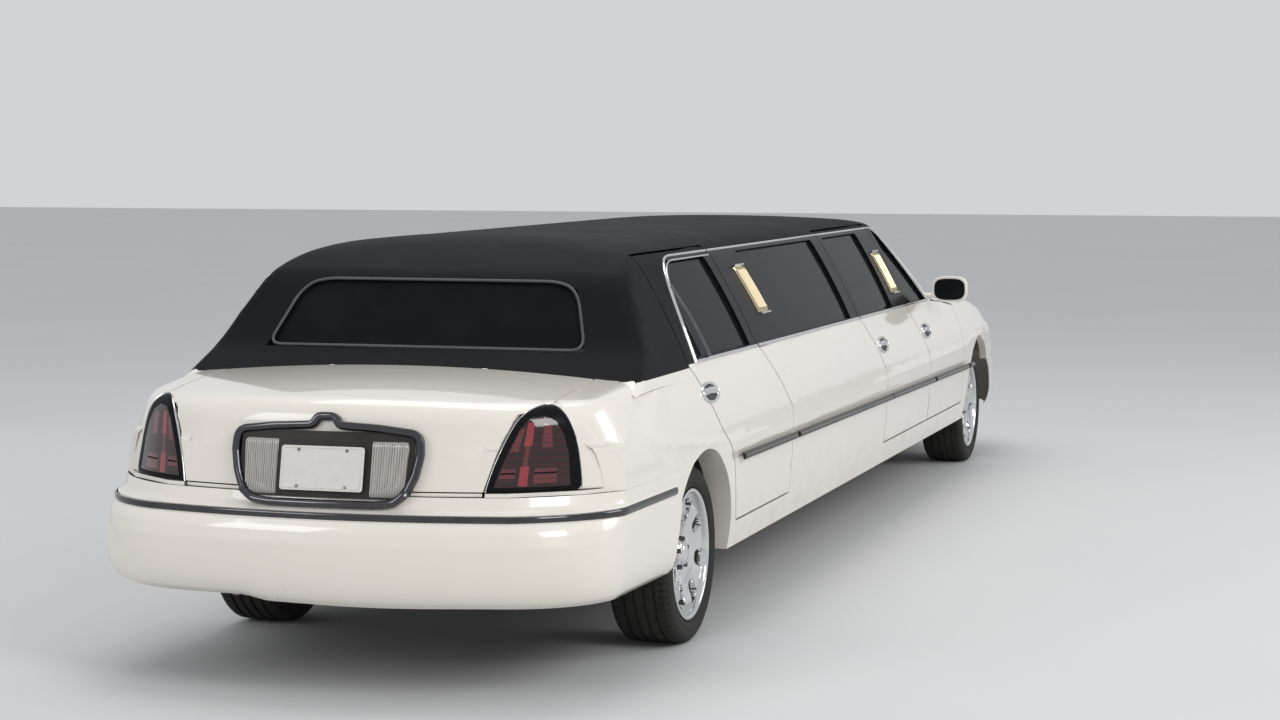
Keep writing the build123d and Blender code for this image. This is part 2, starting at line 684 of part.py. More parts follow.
# Frame and running gear
RAIL_IN = 400
RAIL_OUT = 460
RAIL_LOW = 195
RAIL_HIGH = BODY_BOTTOM - SEAT_GAP
KICK_LOW = 400
KICK_HIGH = 490
AXLE_TUBE = 45
GEARBOX_END_X = FRONT_AXLE - 1150
CROSS_MEMBERS = (900, FRONT_AXLE - 3838, FRONT_AXLE - 2538, FRONT_AXLE - 1338)


def chassis_frame():
    """Two box rails that rise over the rear axle, with cross-members between them."""
    side_view = [
        (-1280, KICK_LOW),
        (110, KICK_LOW),
        (390, RAIL_LOW),
        (FRONT_AXLE + 860, RAIL_LOW),
        (FRONT_AXLE + 860, RAIL_HIGH),
        (420, RAIL_HIGH),
        (130, KICK_HIGH),
        (-1280, KICK_HIGH),
    ]
    frame = side_prism(side_view, -RAIL_OUT, -RAIL_IN) + side_prism(side_view, RAIL_IN, RAIL_OUT)
    for x in CROSS_MEMBERS:
        frame += box(x - 40, x + 40, -RAIL_IN, RAIL_IN, RAIL_LOW, RAIL_LOW + 35)
    frame += box(FRONT_AXLE - 90, FRONT_AXLE + 90, -RAIL_IN, RAIL_IN, RAIL_LOW, RAIL_HIGH)
    frame += box(FRONT_AXLE + 780, FRONT_AXLE + 860, -RAIL_IN, RAIL_IN, RAIL_LOW, RAIL_HIGH)
    frame += box(-1280, -1220, -RAIL_IN, RAIL_IN, KICK_LOW, KICK_HIGH)
    for side in (-1, 1):
        y0, y1 = sorted((side * RAIL_IN, side * RAIL_OUT))
        frame += box(FRONT_AXLE - 90, FRONT_AXLE + 90, y0, y1, RAIL_HIGH - 1, 520)
        frame += box(FRONT_AXLE + 800, FRONT_AXLE + 980, y0, y1, RAIL_LOW + 60, 400)
        frame += box(-1380, -1279, y0, y1, KICK_LOW, KICK_HIGH)
    return frame


def knuckle(side):
    """Steering knuckle: an upright between the arms with the spindle of its wheel."""
    y = side * STEER_AXIS_Y
    upright = tube_z(FRONT_AXLE, y, 24, WHEEL_Z - 86, WHEEL_Z + 130)
    upright += tube_z(FRONT_AXLE, y, 10, WHEEL_Z - 110, WHEEL_Z + 154)
    spindle = tube_y(FRONT_AXLE, WHEEL_Z, SPINDLE_RADIUS, y, side * (TYRE_OUT - 52))
    flange = tube_y(FRONT_AXLE, WHEEL_Z, 70, side * (TRACK_HALF - 12), side * (TRACK_HALF - 24))
    arm = box(FRONT_AXLE - 140, FRONT_AXLE, *sorted((y, y - side * 26)), WHEEL_Z - 48, WHEEL_Z - 23)
    return upright + spindle + flange + arm


def front_arms(side):
    """Lower and upper control arms from the frame to the knuckle."""
    arms = []
    for z0, z1, spread in ((WHEEL_Z - 110, WHEEL_Z - 88, 150), (WHEEL_Z + 132, WHEEL_Z + 152, 90)):
        inner = side * (RAIL_OUT + SEAT_GAP)
        outer = side * (STEER_AXIS_Y + 28)
        points = [
            (FRONT_AXLE - spread, inner),
            (FRONT_AXLE + spread, inner),
            (FRONT_AXLE + 30, outer),
            (FRONT_AXLE - 30, outer),
        ]
        face = Face(Wire.make_polygon([(x, y, z0) for x, y in points], close=True))
        arm = extrude(face, amount=z1 - z0, dir=(0, 0, 1))
        arms.append(arm - tube_z(FRONT_AXLE, side * STEER_AXIS_Y, 10 + SEAT_GAP, 200, 520))
    return arms


def rear_axle():
    """Live rear axle and driveshaft: tube, differential, spindles and the springs under the frame."""
    axle = tube_y(0, WHEEL_Z, AXLE_TUBE, -650, 650)
    axle += tube_y(0, WHEEL_Z, 120, -90, 90)
    for side in (-1, 1):
        axle += tube_y(0, WHEEL_Z, SPINDLE_RADIUS, side * 640, side * (TYRE_OUT - 52))
        axle += tube_y(0, WHEEL_Z, 70, side * (TRACK_HALF - 12), side * (TRACK_HALF - 24))
        axle += tube_z(0, side * (RAIL_IN + RAIL_OUT) / 2, 50, WHEEL_Z, KICK_LOW - SEAT_GAP)
    return axle + tube_x(100, GEARBOX_END_X - SEAT_GAP, 0, WHEEL_Z - 18, 38)


def exhaust():
    """Two pipes over the rear axle, each with a muffler and a tail pipe under the bumper."""
    pieces = []
    for side in (-1, 1):
        y = side * 300
        points = [(FRONT_AXLE - 700, y, 262), (400, y, 262), (130, y, 442), (-660, y, 442)]
        path = FilletPolyline(*points, radius=150)
        section = Plane(origin=points[0], z_dir=(-1, 0, 0)) * Circle(26)
        pipe = sweep(section, path)
        muffler = box(-1180, -650, *sorted((side * 245, side * 390)), 350, 470)
        tail = tube_x(-1330, -1170, side * 330, 365, 28)
        strap = box(-960, -900, *sorted((side * 290, side * 330)), 460, RAISED_FLOOR - SEAT_GAP)
        for x in CROSS_MEMBERS[1:]:
            strap += box(x - 20, x + 20, y - 15, y + 15, RAIL_LOW + 35 + SEAT_GAP, 250)
        pieces.append(pipe + muffler + tail + strap)
    return pieces


def tube_x(x0, x1, y, z, radius):
    """A cylinder along the car."""
    return Pos((x0 + x1) / 2, y, z) * Rot(0, 90, 0) * Cylinder(radius, abs(x1 - x0))


def seat(x_front, x_back, y0, y1, base_z, cushion_z, top_z):
    """A cushion and a leaning back in one solid, seen from the side and pulled across."""
    depth = x_front - x_back
    outline = [
        (x_front, base_z),
        (x_front, cushion_z + 20),
        (x_front - depth * 0.66, cushion_z - 10),
        (x_front - depth * 0.86, top_z),
        (x_back, top_z),
        (x_front - depth * 0.82, base_z),
    ]
    return side_prism(outline, y0, y1)


# Windshield and rear window seen from the end, as (y, z) points
REAR_WINDOW_TOP = ROOF_Z - 157
REAR_WINDOW = [
    (-633, 1126),
    (633, 1126),
    (553, REAR_WINDOW_TOP - 32),
    (480, REAR_WINDOW_TOP),
    (-480, REAR_WINDOW_TOP),
    (-553, REAR_WINDOW_TOP - 32),
]
WINDSHIELD = [(-790, 1055), (790, 1055), (640, ROOF_Z - 95), (-640, ROOF_Z - 95)]


def end_cut(outline, x0, x1, amount=0):
    """A cutter along the car for a window in the front or the rear of the cabin."""
    wire = Wire.make_polygon([(y, z, 0) for y, z in outline], close=True)
    if amount:
        wire = wire.offset_2d(amount, kind=Kind.INTERSECTION)
    points = [(x0, edge.position_at(0).X, edge.position_at(0).Y) for edge in wire.order_edges()]
    return extrude(Face(Wire.make_polygon(points, close=True)), amount=x1 - x0, dir=(1, 0, 0))


def lid_cut(grow):
    """The trunk lid: its top panel and the middle of the rear face down to the bumper."""
    half = LID_HALF + grow
    top = box(REAR_FACE_X - 1 - 1.5 * grow, DECK_FRONT_X - SEAM + grow, -half, half, 860, FAR)
    face = [(-y, z) for y, z in LID_EDGE] + [(-LID_HALF, FAR), (LID_HALF, FAR)] + LID_EDGE[::-1]
    return top + end_cut(face, -FAR, REAR_FACE_X, grow)


def hood_cut(grow):
    """The hood: the top panel between the fenders, from the cowl to the nose."""
    return box(HOOD_REAR_X - grow, FAR * 5, -HOOD_HALF - grow, HOOD_HALF + grow, HOOD_FRONT_Z - grow, FAR)


# Cross hinges of the trunk lid and the hood: station and height of the axis, and where the lugs sit
LID_HINGE = (DECK_FRONT_X + 14, 1060)
LID_LUG_Y = 300
HOOD_HINGE = (HOOD_REAR_X - 24, 1024)
HOOD_LUG_Y = 650
COWL_EDGE_Z = 1020
LUG_WIDTH = 20
LUG_RADIUS = 8


def cross_hinge_lug(place, y, reach):
    """A lug with a bore, reaching back from a lid or a hood to its hinge pin."""
    x, z = place
    half = LUG_WIDTH / 2
    lug = tube_y(x, z, LUG_RADIUS, y - half, y + half)
    lug += box(*sorted((x, x + reach)), y - half, y + half, z - LUG_RADIUS + 1, z + LUG_RADIUS - 1)
    return lug - tube_y(x, z, PIN_RADIUS + SEAT_GAP, y - half, y + half)


def cross_hinge_notch(place, y, reach):
    """The notch in the fixed panel round a lug."""
    x, z = place
    half = LUG_WIDTH / 2 + SEAM
    back = x - (LUG_RADIUS + SEAM - 2) if reach > 0 else x + LUG_RADIUS + SEAM - 2
    return box(*sorted((back, x + reach)), y - half, y + half, z - LUG_RADIUS - SEAM, FAR)


def cross_hinge_pin(place, y):
    x, z = place
    half = LUG_WIDTH / 2 + SEAM + 10
    return tube_y(x, z, PIN_RADIUS, y - half, y + half)


# Fuel door on the left quarter panel
FUEL_X0, FUEL_X1 = -900, -740
FUEL_Z0, FUEL_Z1 = 770, 910
FUEL_SEAM = 6
FUEL_DOOR_THICKNESS = 10
FUEL_POCKET = 30
FUEL_PIN_X = FUEL_X1 - 10
FUEL_PIN_RADIUS = 2
FUEL_PIN_END = 8
FUEL_PIN_PLAY = 0.5


def fuel_skin_y(z):
    """Where the skin is at the hinge of the fuel door."""
    line = Edge.make_line((FUEL_PIN_X, 0, z), (FUEL_PIN_X, FAR, z))
    hits = body_solid(0) & line
    return max(v.Y for v in hits.vertices())


def fuel_axis():
    """Two points on the hinge line, just under the skin at the ends of the door."""
    return [Vector(FUEL_PIN_X, fuel_skin_y(z) - 4.5, z) for z in (FUEL_Z0, FUEL_Z1)]


def fuel_door(outer, layer):
    """The flap, its hinge pin, and the pocket behind it."""
    low, high = fuel_axis()
    along = (high - low).normalized()
    start = low - along * FUEL_PIN_END - along * FUEL_SEAM
    length = (high - low).length + 2 * (FUEL_PIN_END + FUEL_SEAM)
    plane = Plane(origin=start, z_dir=along)
    pin = extrude(plane * Circle(FUEL_PIN_RADIUS), amount=length)
    bore_plane = Plane(origin=start - along * FUEL_PIN_PLAY, z_dir=along)
    bore = extrude(bore_plane * Circle(FUEL_PIN_RADIUS + SEAT_GAP), amount=length + 2 * FUEL_PIN_PLAY)
    flap = layer & box(FUEL_X0, FUEL_X1, 0, FAR, FUEL_Z0, FUEL_Z1)
    pocket = outer - body_solid(FUEL_POCKET)
    pocket &= box(FUEL_X0 - FUEL_SEAM, FUEL_X1 + FUEL_SEAM, 0, FAR, FUEL_Z0 - FUEL_SEAM, FUEL_Z1 + FUEL_SEAM)
    return flap + pin, pocket + bore


# Plate surround on the trunk lid seen from behind: half outlines of the frame and of its inside
SURROUND_EDGE = [
    (205, 661),
    (268, 669),
    (310, 704),
    (336, 765),
    (350, 840),
    (345, 895),
    (325, 912),
    (200, 930),
    (50, 943),
    (36, 970),
]
SURROUND_WIDTH = 24
SURROUND_DEPTH = 30
SURROUND_FLOOR = 12
SURROUND_LAMP_DEPTH = 22
SURROUND_BACK = 22
SURROUND_OVERHANG_Z = 712
LAMP_WINDOW = [(174, 690), (262, 694), (292, 730), (300, 860), (292, 884), (174, 884)]


def mirrored(half):
    """A closed outline from its left half."""
    return half + [(-y, z) for y, z in half[::-1]]


def raised_layer(low, high):
    """The layer of the body's outside between two heights above its skin."""
    return body_solid(-high) - body_solid(-low)


def plate_surround():
    """The deep frame on the lid, its floor, the two reversing lamps and the recess of the plate."""
    window = box(-FAR, -1000, -FAR, FAR, SURROUND_OVERHANG_Z, FAR)
    outline = mirrored(SURROUND_EDGE)
    inside = grown(outline[:9] + outline[11:], -SURROUND_WIDTH)
    frame = raised_layer(SEAT_GAP, SURROUND_DEPTH) & end_prism(outline, 1, -FAR, -1000)
    frame -= end_prism(inside, 1, -FAR, -1000)
    floor = raised_layer(SEAT_GAP, SURROUND_FLOOR) & end_prism(inside, 1, -FAR, -1000) & window
    lamps = raised_layer(SURROUND_FLOOR - 1, SURROUND_LAMP_DEPTH)
    lamps &= end_prism(LAMP_WINDOW, 1, -FAR, -1000) + end_prism(LAMP_WINDOW, -1, -FAR, -1000)
    back = body_solid(-SURROUND_BACK) - window
    return frame + floor + lamps - back


# Pillar lamps: bottom station and height, top station and height
LAMP_HALF_WIDTH = 75
LAMP_DEPTH = 16
PILLAR_LAMPS = [
    (1409, 1166, 1332, WINDOW_TOP - 62),
    (FRONT_AXLE - 1963, 1110, FRONT_AXLE - 2033, WINDOW_TOP - 105),
]


def pillar_lamp(layer, row, side):
    x0, z0, x1, z1 = row
    half = LAMP_HALF_WIDTH
    return layer & window_cut([(x0 - half, z0), (x0 + half, z0), (x1 + half, z1), (x1 - half, z1)], side)


# Door mirrors: stations, sides and heights of the housing and its foot
MIRROR_X = (COWL_X - 185, COWL_X - 95)
MIRROR_Y = (925, 1120)
MIRROR_Z = (1020, 1165)


def mirror_housing(side):
    """A rounded housing on a foot that stands on the corner of the door."""
    (x0, x1), (y0, y1), (z0, z1) = MIRROR_X, MIRROR_Y, MIRROR_Z
    shell = box(x0, x1, *sorted((side * y0, side * y1)), z0, z1)
    shell = fillet(shell.edges().filter_by(Axis.X), 40)
    shell = fillet(shell.faces().sort_by(Axis.X)[-1].edges(), 25)
    foot = box(x0 + 15, x1 - 15, *sorted((side * (y0 + 30), side * 850)), 1046, 1070)
    return shell + foot


def cowl_well():
    """The sunk cowl under the rear edge of the hood, which the edge swings back into."""
    wide = HOOD_HALF + SEAM
    well = box(COWL_X - 10, HOOD_REAR_X, -wide, wide, BELT_SPLIT, FAR)
    return well + box(HOOD_HINGE[0] + LUG_RADIUS + 2, HOOD_REAR_X, -wide, wide, COWL_EDGE_Z, FAR)


def carve(rest, region):
    """Takes a region out of what is left of the skin: the piece, then the remainder."""
    return rest & region, rest - region


# The tub behind the rear seat, and the wheelhouses
TUB_REAR_X = -1225
TUB_FRONT_X = -440
TUB_HALF = 740
TUB_WALL = 20
PAN_HALF = TYRE_IN - 39.5
WHEELHOUSE_WALL = 12
WHEELHOUSE_OUT = 925
TUNNEL_X0 = 474


def plan_prism(outline, z0, z1):
    """An outline of (x, y) points seen from above, pulled up from z0 to z1."""
    face = Face(Wire.make_polygon([(x, y, z0) for x, y in outline], close=True))
    return extrude(face, amount=z1 - z0, dir=(0, 0, 1))


def trunk_tub(shell):
    """The tub of the trunk, the pan under the rear seat with its riser, and both wheelhouses."""
    top = BUMPER_TOP + SEAT_GAP
    pan_top = RAISED_FLOOR + FLOOR_THICKNESS
    outline = [(TUB_REAR_X, 500), (TUB_REAR_X + 165, TUB_HALF), (TUB_FRONT_X, TUB_HALF)]
    outline += [(x, -y) for x, y in outline[::-1]]
    tub = plan_prism(outline, RAISED_FLOOR, top) - plan_prism(grown(outline, -TUB_WALL), pan_top, top)
    tub -= box(TUB_FRONT_X - TUB_WALL, TUB_FRONT_X, -PAN_HALF, PAN_HALF, pan_top, top)
    tub += box(TUB_FRONT_X - 1, REAR_SEAT_X + FLOOR_THICKNESS, -PAN_HALF, PAN_HALF, RAISED_FLOOR, pan_top)
    riser_x = (REAR_SEAT_X, REAR_SEAT_X + FLOOR_THICKNESS)
    riser = box(*riser_x, -PAN_HALF, PAN_HALF, FLOOR_TOP + SEAT_GAP, RAISED_FLOOR)
    room = TUNNEL_WALL + SEAT_GAP
    tub += riser - box(0, FAR, -TUNNEL_HALF - room, TUNNEL_HALF + room, 0, TUNNEL_TOP + room)
    for side in (-1, 1):
        inner, outer = side * (PAN_HALF - 1), side * WHEELHOUSE_OUT
        house = tube_y(0, WHEEL_Z, REAR_ARCH_RADIUS + WHEELHOUSE_WALL, inner, outer)
        house -= tube_y(0, WHEEL_Z, REAR_ARCH_RADIUS, side * (PAN_HALF + WHEELHOUSE_WALL), outer)
        house -= box(-FAR, FAR, -FAR, FAR, -FAR, RAISED_FLOOR)
        tub += house - shell
    return tub


def build():
    """Every node of the car, by name."""
    nodes = {}
    shell = shell_solid()
    rest = shell
    for name, side, back, front, front_x in DOORS:
        nodes[name] = door_body(shell, name, side, back, front, front_x)
        rest -= door_plug(grown(back + front, SEAM), side)

    glass = glass_layer()
    for name, side, *_ in DOORS:
        nodes[name + "_glass"] = pane(glass, DOOR_PANES[name], side)

    roof, rest = carve(rest, box(DECK_FRONT_X, COWL_X + 60, -FAR, FAR, BELT_SPLIT, FAR))
    for side, outline in FIXED_PANES:
        roof -= window_cut(outline, side)
    roof -= end_cut(REAR_WINDOW, -600, 200)
    roof -= end_cut(WINDSHIELD, HEADER_X - 200, COWL_X + 200)
    nodes["side_glass"] = as_one([pane(glass, outline, side) for side, outline in FIXED_PANES])
    nodes["rear_window"] = glass & end_cut(REAR_WINDOW, -600, 200, -SEAT_GAP)
    nodes["windshield"] = glass & end_cut(WINDSHIELD, HEADER_X - 200, COWL_X + 200, -SEAT_GAP)

    lid = rest & lid_cut(0)
    rest -= lid_cut(SEAM)
    lid_reach = DECK_FRONT_X - 15 - LID_HINGE[0]
    for y in (-LID_LUG_Y, LID_LUG_Y):
        lid += cross_hinge_lug(LID_HINGE, y, lid_reach)
        roof -= cross_hinge_notch(LID_HINGE, y, lid_reach)
        roof += cross_hinge_pin(LID_HINGE, y)
    for side in (-1, 1):
        inner, outer_y = sorted((side * LID_EDGE[2][0], side * (LID_HALF + 1)))
        lid -= box(REAR_FACE_X - 2, REAR_FACE_X + 24, inner, outer_y, 0, LID_FLANGE_Z)
    nodes["trunk_lid"] = lid
    roof -= cowl_well()
    nodes["roof"] = as_one([roof])

    hood = (rest & hood_cut(0)) - body_solid(PANEL_THICKNESS)
    rest -= hood_cut(SEAM) - body_solid(PANEL_THICKNESS + SEAM)

    outer = body_solid(0)
    flap, pocket = fuel_door(outer, outer - body_solid(FUEL_DOOR_THICKNESS))
    rest -= pocket
    nodes["fuel_door"] = flap
    rest -= box(-FAR, BULKHEAD_X - 10, -FAR, FAR, 0, BUMPER_TOP + SEAT_GAP)
    rest -= box(FRONT_AXLE + 330, FAR * 5, -FAR, FAR, 0, FRONT_BUMPER_TOP + SEAT_GAP)

    lamps = []
    beside = box(REAR_FACE_X, -1000, -LID_HALF - 20, LID_HALF + 20, 0, FAR)
    for side in (-1, 1):
        lamp, rest = carve(rest, end_prism(TAIL_LAMP, side, -FAR, -1000) - beside)
        lamps.append(lamp)
    nodes["tail_lamps"] = as_one(lamps)
    lamps = []
    for side in (-1, 1):
        lamp, rest = carve(rest, end_prism(HEADLAMP, side, FRONT_AXLE + 560, FAR * 5))
        lamps.append(lamp)
    nodes["headlamps"] = as_one(lamps)
    grille, rest = carve(rest, end_prism(GRILLE, 1, FRONT_AXLE + 560, FAR * 5))
    for i in range(GRILLE_SLOTS):
        middle = (i - (GRILLE_SLOTS - 1) / 2) * GRILLE_PITCH
        slot = (middle - GRILLE_SLOT / 2, middle + GRILLE_SLOT / 2)
        grille -= box(FRONT_AXLE + 560, FAR * 5, *slot, *GRILLE_SLOT_Z)
    nodes["grille"] = grille
    nose, rest = carve(rest, box(NOSE_PANEL_X, FAR * 5, -900, 900, 0, HOOD_FRONT_Z - SEAM))
    nodes["nose_panel"] = as_one([nose])

    pan_seat = RAISED_FLOOR + FLOOR_THICKNESS + SEAT_GAP
    rest -= box(-FAR, REAR_SEAT_X, -PAN_HALF - 1, PAN_HALF + 1, 0, pan_seat)
    seat_back = box(DECK_FRONT_X, BULKHEAD_X + 160, -LID_HALF, LID_HALF, pan_seat, BELT_SPLIT)
    nodes["rear_bulkhead"], rest = carve(rest, seat_back)
    quarters, rest = carve(rest, box(-FAR, 500, -FAR, FAR, SILL_TOP, FAR))
    quarters -= box(-FAR, REAR_FACE_X, -LAMP_EDGE[0][0], LAMP_EDGE[0][0], 0, BUMPER_TOP + 60)
    nodes["quarter_panels"] = as_one([quarters])
    firewall, rest = carve(rest, box(COWL_X - 100, FIREWALL_X, -860, 860, FLOOR_TOP, FAR))
    for y in (-HOOD_LUG_Y, HOOD_LUG_Y):
        hood += cross_hinge_lug(HOOD_HINGE, y, HOOD_REAR_X + 10 - HOOD_HINGE[0])
        firewall -= cross_hinge_notch(HOOD_HINGE, y, HOOD_REAR_X + 10 - HOOD_HINGE[0])
        firewall += cross_hinge_pin(HOOD_HINGE, y)
    nodes["hood"] = hood
    nodes["firewall"] = as_one([firewall - cowl_well()])
    fenders, rest = carve(rest, box(FRONT_DOOR_FRONT - 900, FAR * 5, -FAR, FAR, SILL_TOP, FAR))
    nodes["front_fenders"] = as_one([fenders])
    between_doors = box(MIDDLE_DOOR_FRONT - 300, MIDDLE_DOOR_FRONT + 60, -FAR, 0, SILL_TOP, BELT_SPLIT)
    door_post, rest = carve(rest, between_doors)
    panels, rest = carve(rest, box(REAR_DOOR_FRONT - 500, FRONT_DOOR_FRONT - 900, -FAR, FAR, SILL_TOP, FAR))
    nodes["stretch_panels"] = as_one([panels])
    floor, rest = carve(rest, box(-FAR, FAR * 5, -FLOOR_HALF, FLOOR_HALF, 0, FAR))
    tunnel_wall = TUNNEL_HALF + TUNNEL_WALL
    tunnel = box(TUNNEL_X0, FIREWALL_X - 40, -tunnel_wall, tunnel_wall, BODY_BOTTOM, TUNNEL_TOP + TUNNEL_WALL)
    tunnel -= box(0, FAR * 5, -TUNNEL_HALF, TUNNEL_HALF, 0, TUNNEL_TOP)
    nodes["floor"] = as_one([floor + tunnel])
    posts = [hinge_pillar(front_x, side) for _, side, _, _, front_x in DOORS]
    nodes["sills"] = as_one([rest + posts + [door_post]])
    nodes["trunk_tub"] = trunk_tub(shell)

    nodes["rear_bumper"] = bumper(REAR_BUMPER_TOP, REAR_BUMPER_WIDE, REAR_BUMPER_LOW, REAR_LEVELS)
    front_bumper = bumper(FRONT_BUMPER_EDGE, FRONT_BUMPER_WIDE, FRONT_BUMPER_LOW, FRONT_LEVELS)
    intake = box(FRONT_AXLE + 800, FAR * 5, -INTAKE_HALF, INTAKE_HALF, *INTAKE_Z)
    nodes["front_bumper"] = front_bumper - intake
    nodes["plate_surround"] = plate_surround()
    layer = cabin_solid(-LAMP_DEPTH) - cabin_solid(-SEAT_GAP)
    first, second = PILLAR_LAMPS
    fixed = ((first, -1), (first, 1), (second, 1))
    nodes["pillar_lamps"] = as_one([pillar_lamp(layer, *row) for row in fixed])
    nodes["door_lamp"] = pillar_lamp(layer, second, -1)
    nodes["left_mirror"] = mirror_housing(1) - nodes["left_front_door"]
    nodes["right_mirror"] = mirror_housing(-1) - nodes["right_front_door"]
    nodes.update(running_gear())
    nodes["chassis_frame"] = nodes["chassis_frame"] - nodes["rear_bumper"] - nodes["front_bumper"]
    nodes.update(interior())
    return nodes


def running_gear():
    """Frame, axles, wheels, engine, exhaust and fuel tank."""
    nodes = {"chassis_frame": chassis_frame(), "rear_axle": rear_axle()}
    for end, x in (("front", FRONT_AXLE), ("rear", 0)):
        for hand, side in (("left", 1), ("right", -1)):
            nodes[f"{end}_{hand}_wheel"] = wheel(x, side)
            nodes[f"{end}_{hand}_tyre"] = tyre(x, side)
    nodes["left_knuckle"] = knuckle(1)
    nodes["right_knuckle"] = knuckle(-1)
    nodes["front_arms"] = as_one(front_arms(-1) + front_arms(1))
    block = box(FRONT_AXLE - 480, FRONT_AXLE + 260, -280, 280, RAIL_HIGH + SEAT_GAP, 760)
    gearbox = box(GEARBOX_END_X, FRONT_AXLE - 479, -120, 120, RAIL_LOW + 40, 415)
    nodes["engine"] = block + gearbox
    nodes["exhaust"] = as_one(exhaust())
    nodes["fuel_tank"] = box(-1150, -640, -230, 230, 310, RAISED_FLOOR - SEAT_GAP)
    return nodes


STEER_X = COWL_X - 240
STEER_Y = 380
STEER_Z = 870
STEER_TILT = 24
STEERING_WHEEL_RADIUS = 190


def steering_place():
    """The steering wheel's frame: its axis points back and up to the driver."""
    return Pos(STEER_X, STEER_Y, STEER_Z) * Rot(0, -90 + STEER_TILT, 0)


def steering_wheel():
    ring = Torus(STEERING_WHEEL_RADIUS, 14)
    hub = Cylinder(60, 40)
    for turn in (0, 130, 230):
        hub += Rot(0, 0, turn) * Pos(-95, 0, 0) * Box(190, 34, 16)
    bore = Pos(0, 0, -16) * Cylinder(12 + SEAT_GAP, 12)
    return steering_place() * (ring + hub - bore)


# The lounge: half width inside the lining, and the partition behind the driver
LINING_HALF = GLASS_BASE_HALF - DOOR_THICKNESS - 25
PARTITION_X = COWL_X - 933
DASH_TOP = 1015 - DOOR_THICKNESS


def interior():
    """Dashboard, steering wheel, seats, partition and the lounge fittings."""
    nodes = {}
    dash = side_prism(
        [
            (FIREWALL_X - FLOOR_THICKNESS - SEAT_GAP, 640),
            (FIREWALL_X - FLOOR_THICKNESS - SEAT_GAP, DASH_TOP),
            (COWL_X - 70, DASH_TOP),
            (COWL_X - 100, 960),
            (COWL_X - 150, 950),
            (COWL_X - 120, 700),
            (COWL_X + 20, 640),
        ],
        -LINING_HALF,
        LINING_HALF,
    )
    column = steering_place() * Pos(0, 0, -150) * Cylinder(12, 270)
    dash += column
    nodes["dashboard"] = dash
    nodes["steering_wheel"] = steering_wheel()
    seats = []
    for y in (-390, 390):
        seats.append(seat(COWL_X - 43, COWL_X - 843, y - 240, y + 240, FLOOR_TOP + SEAT_GAP, 560, 1090))
    nodes["front_seats"] = as_one(seats)
    room = TUNNEL_WALL + SEAT_GAP
    wall = box(PARTITION_X, PARTITION_X + 30, -LINING_HALF, LINING_HALF, FLOOR_TOP + SEAT_GAP, 1000)
    hump = TUNNEL_HALF + room
    wall -= box(PARTITION_X - 30, PARTITION_X + 70, -hump, hump, 0, TUNNEL_TOP + room)
    nodes["partition"] = wall
    rear = seat(600, -160, -PAN_HALF + 5, PAN_HALF - 5, RAISED_FLOOR + FLOOR_THICKNESS + SEAT_GAP, 640, 1060)
    nodes["rear_bench"] = rear
    side_end = PARTITION_X - 430
    side_cushion = box(900, side_end, 330, LINING_HALF - 60, FLOOR_TOP + SEAT_GAP, 600)
    side_cushion += box(900, side_end, 640, LINING_HALF, 600, 960)
    nodes["side_bench"] = side_cushion
    nodes["bar_console"] = box(1500, 3000, -LINING_HALF, -420, FLOOR_TOP + SEAT_GAP, 880)
    return nodes


if __name__ == "__main__":
    for name, shape in build().items():
        export_step(Pos(MOVE_TO_MIDDLE, 0, 0) * shape, f"parts/{name}.step")
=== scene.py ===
import json
import math

import bmesh
import bpy
import numpy as np
from mathutils import Matrix, Vector


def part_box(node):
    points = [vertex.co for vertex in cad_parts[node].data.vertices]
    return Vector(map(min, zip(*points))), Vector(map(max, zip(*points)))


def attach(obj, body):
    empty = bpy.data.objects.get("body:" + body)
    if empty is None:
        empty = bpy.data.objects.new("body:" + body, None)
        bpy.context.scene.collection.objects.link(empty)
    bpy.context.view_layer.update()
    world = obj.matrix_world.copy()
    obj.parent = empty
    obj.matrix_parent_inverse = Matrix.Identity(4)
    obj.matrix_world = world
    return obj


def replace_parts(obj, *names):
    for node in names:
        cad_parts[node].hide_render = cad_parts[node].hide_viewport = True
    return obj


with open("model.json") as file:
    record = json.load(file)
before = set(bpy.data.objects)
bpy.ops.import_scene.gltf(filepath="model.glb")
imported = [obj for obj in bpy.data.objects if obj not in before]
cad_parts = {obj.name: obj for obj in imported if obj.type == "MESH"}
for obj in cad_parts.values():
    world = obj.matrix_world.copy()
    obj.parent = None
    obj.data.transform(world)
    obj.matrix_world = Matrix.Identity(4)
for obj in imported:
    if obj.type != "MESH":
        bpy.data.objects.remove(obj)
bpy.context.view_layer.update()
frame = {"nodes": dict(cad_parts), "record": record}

bl_info = {
    "name": "Stretch limousine",
    "version": (1, 0, 0),
    "blender": (4, 5, 0),
    "location": "3D View > Sidebar > Limousine",
    "description": "Body skins, trim, lamps, wheels and interior of a stretch limousine",
    "category": "Object",
}

NODES = frame["nodes"]
BODY_OF = {node: body for body, nodes in frame["record"]["behaviour"]["bodies"].items() for node in nodes}

# Stations are millimetres from the rear axle; the row's origin is under the middle of the car
AXLE_X = -2.8245
FRONT_AXLE = 6038
COWL_X = FRONT_AXLE - 1075
HEADER_X = FRONT_AXLE - 1720
AXLE_Z = 338
SEAM = 8
MERGE = 1e-6
SIDES = (("right", -1), ("left", 1))


def row(x, y, z):
    """A point given by station, side and height in millimetres, in the row's metres."""
    return Vector((x / 1000 + AXLE_X, y / 1000, z / 1000))


def to_stations(coords):
    """Points of the row as stations, sides and heights in millimetres."""
    p = np.array(coords, float) * 1000
    p[:, 0] -= AXLE_X * 1000
    return p


def from_stations(p):
    """Points given by station, side and height in millimetres, in the row's metres."""
    q = p.copy()
    q[:, 0] += AXLE_X * 1000
    return q / 1000


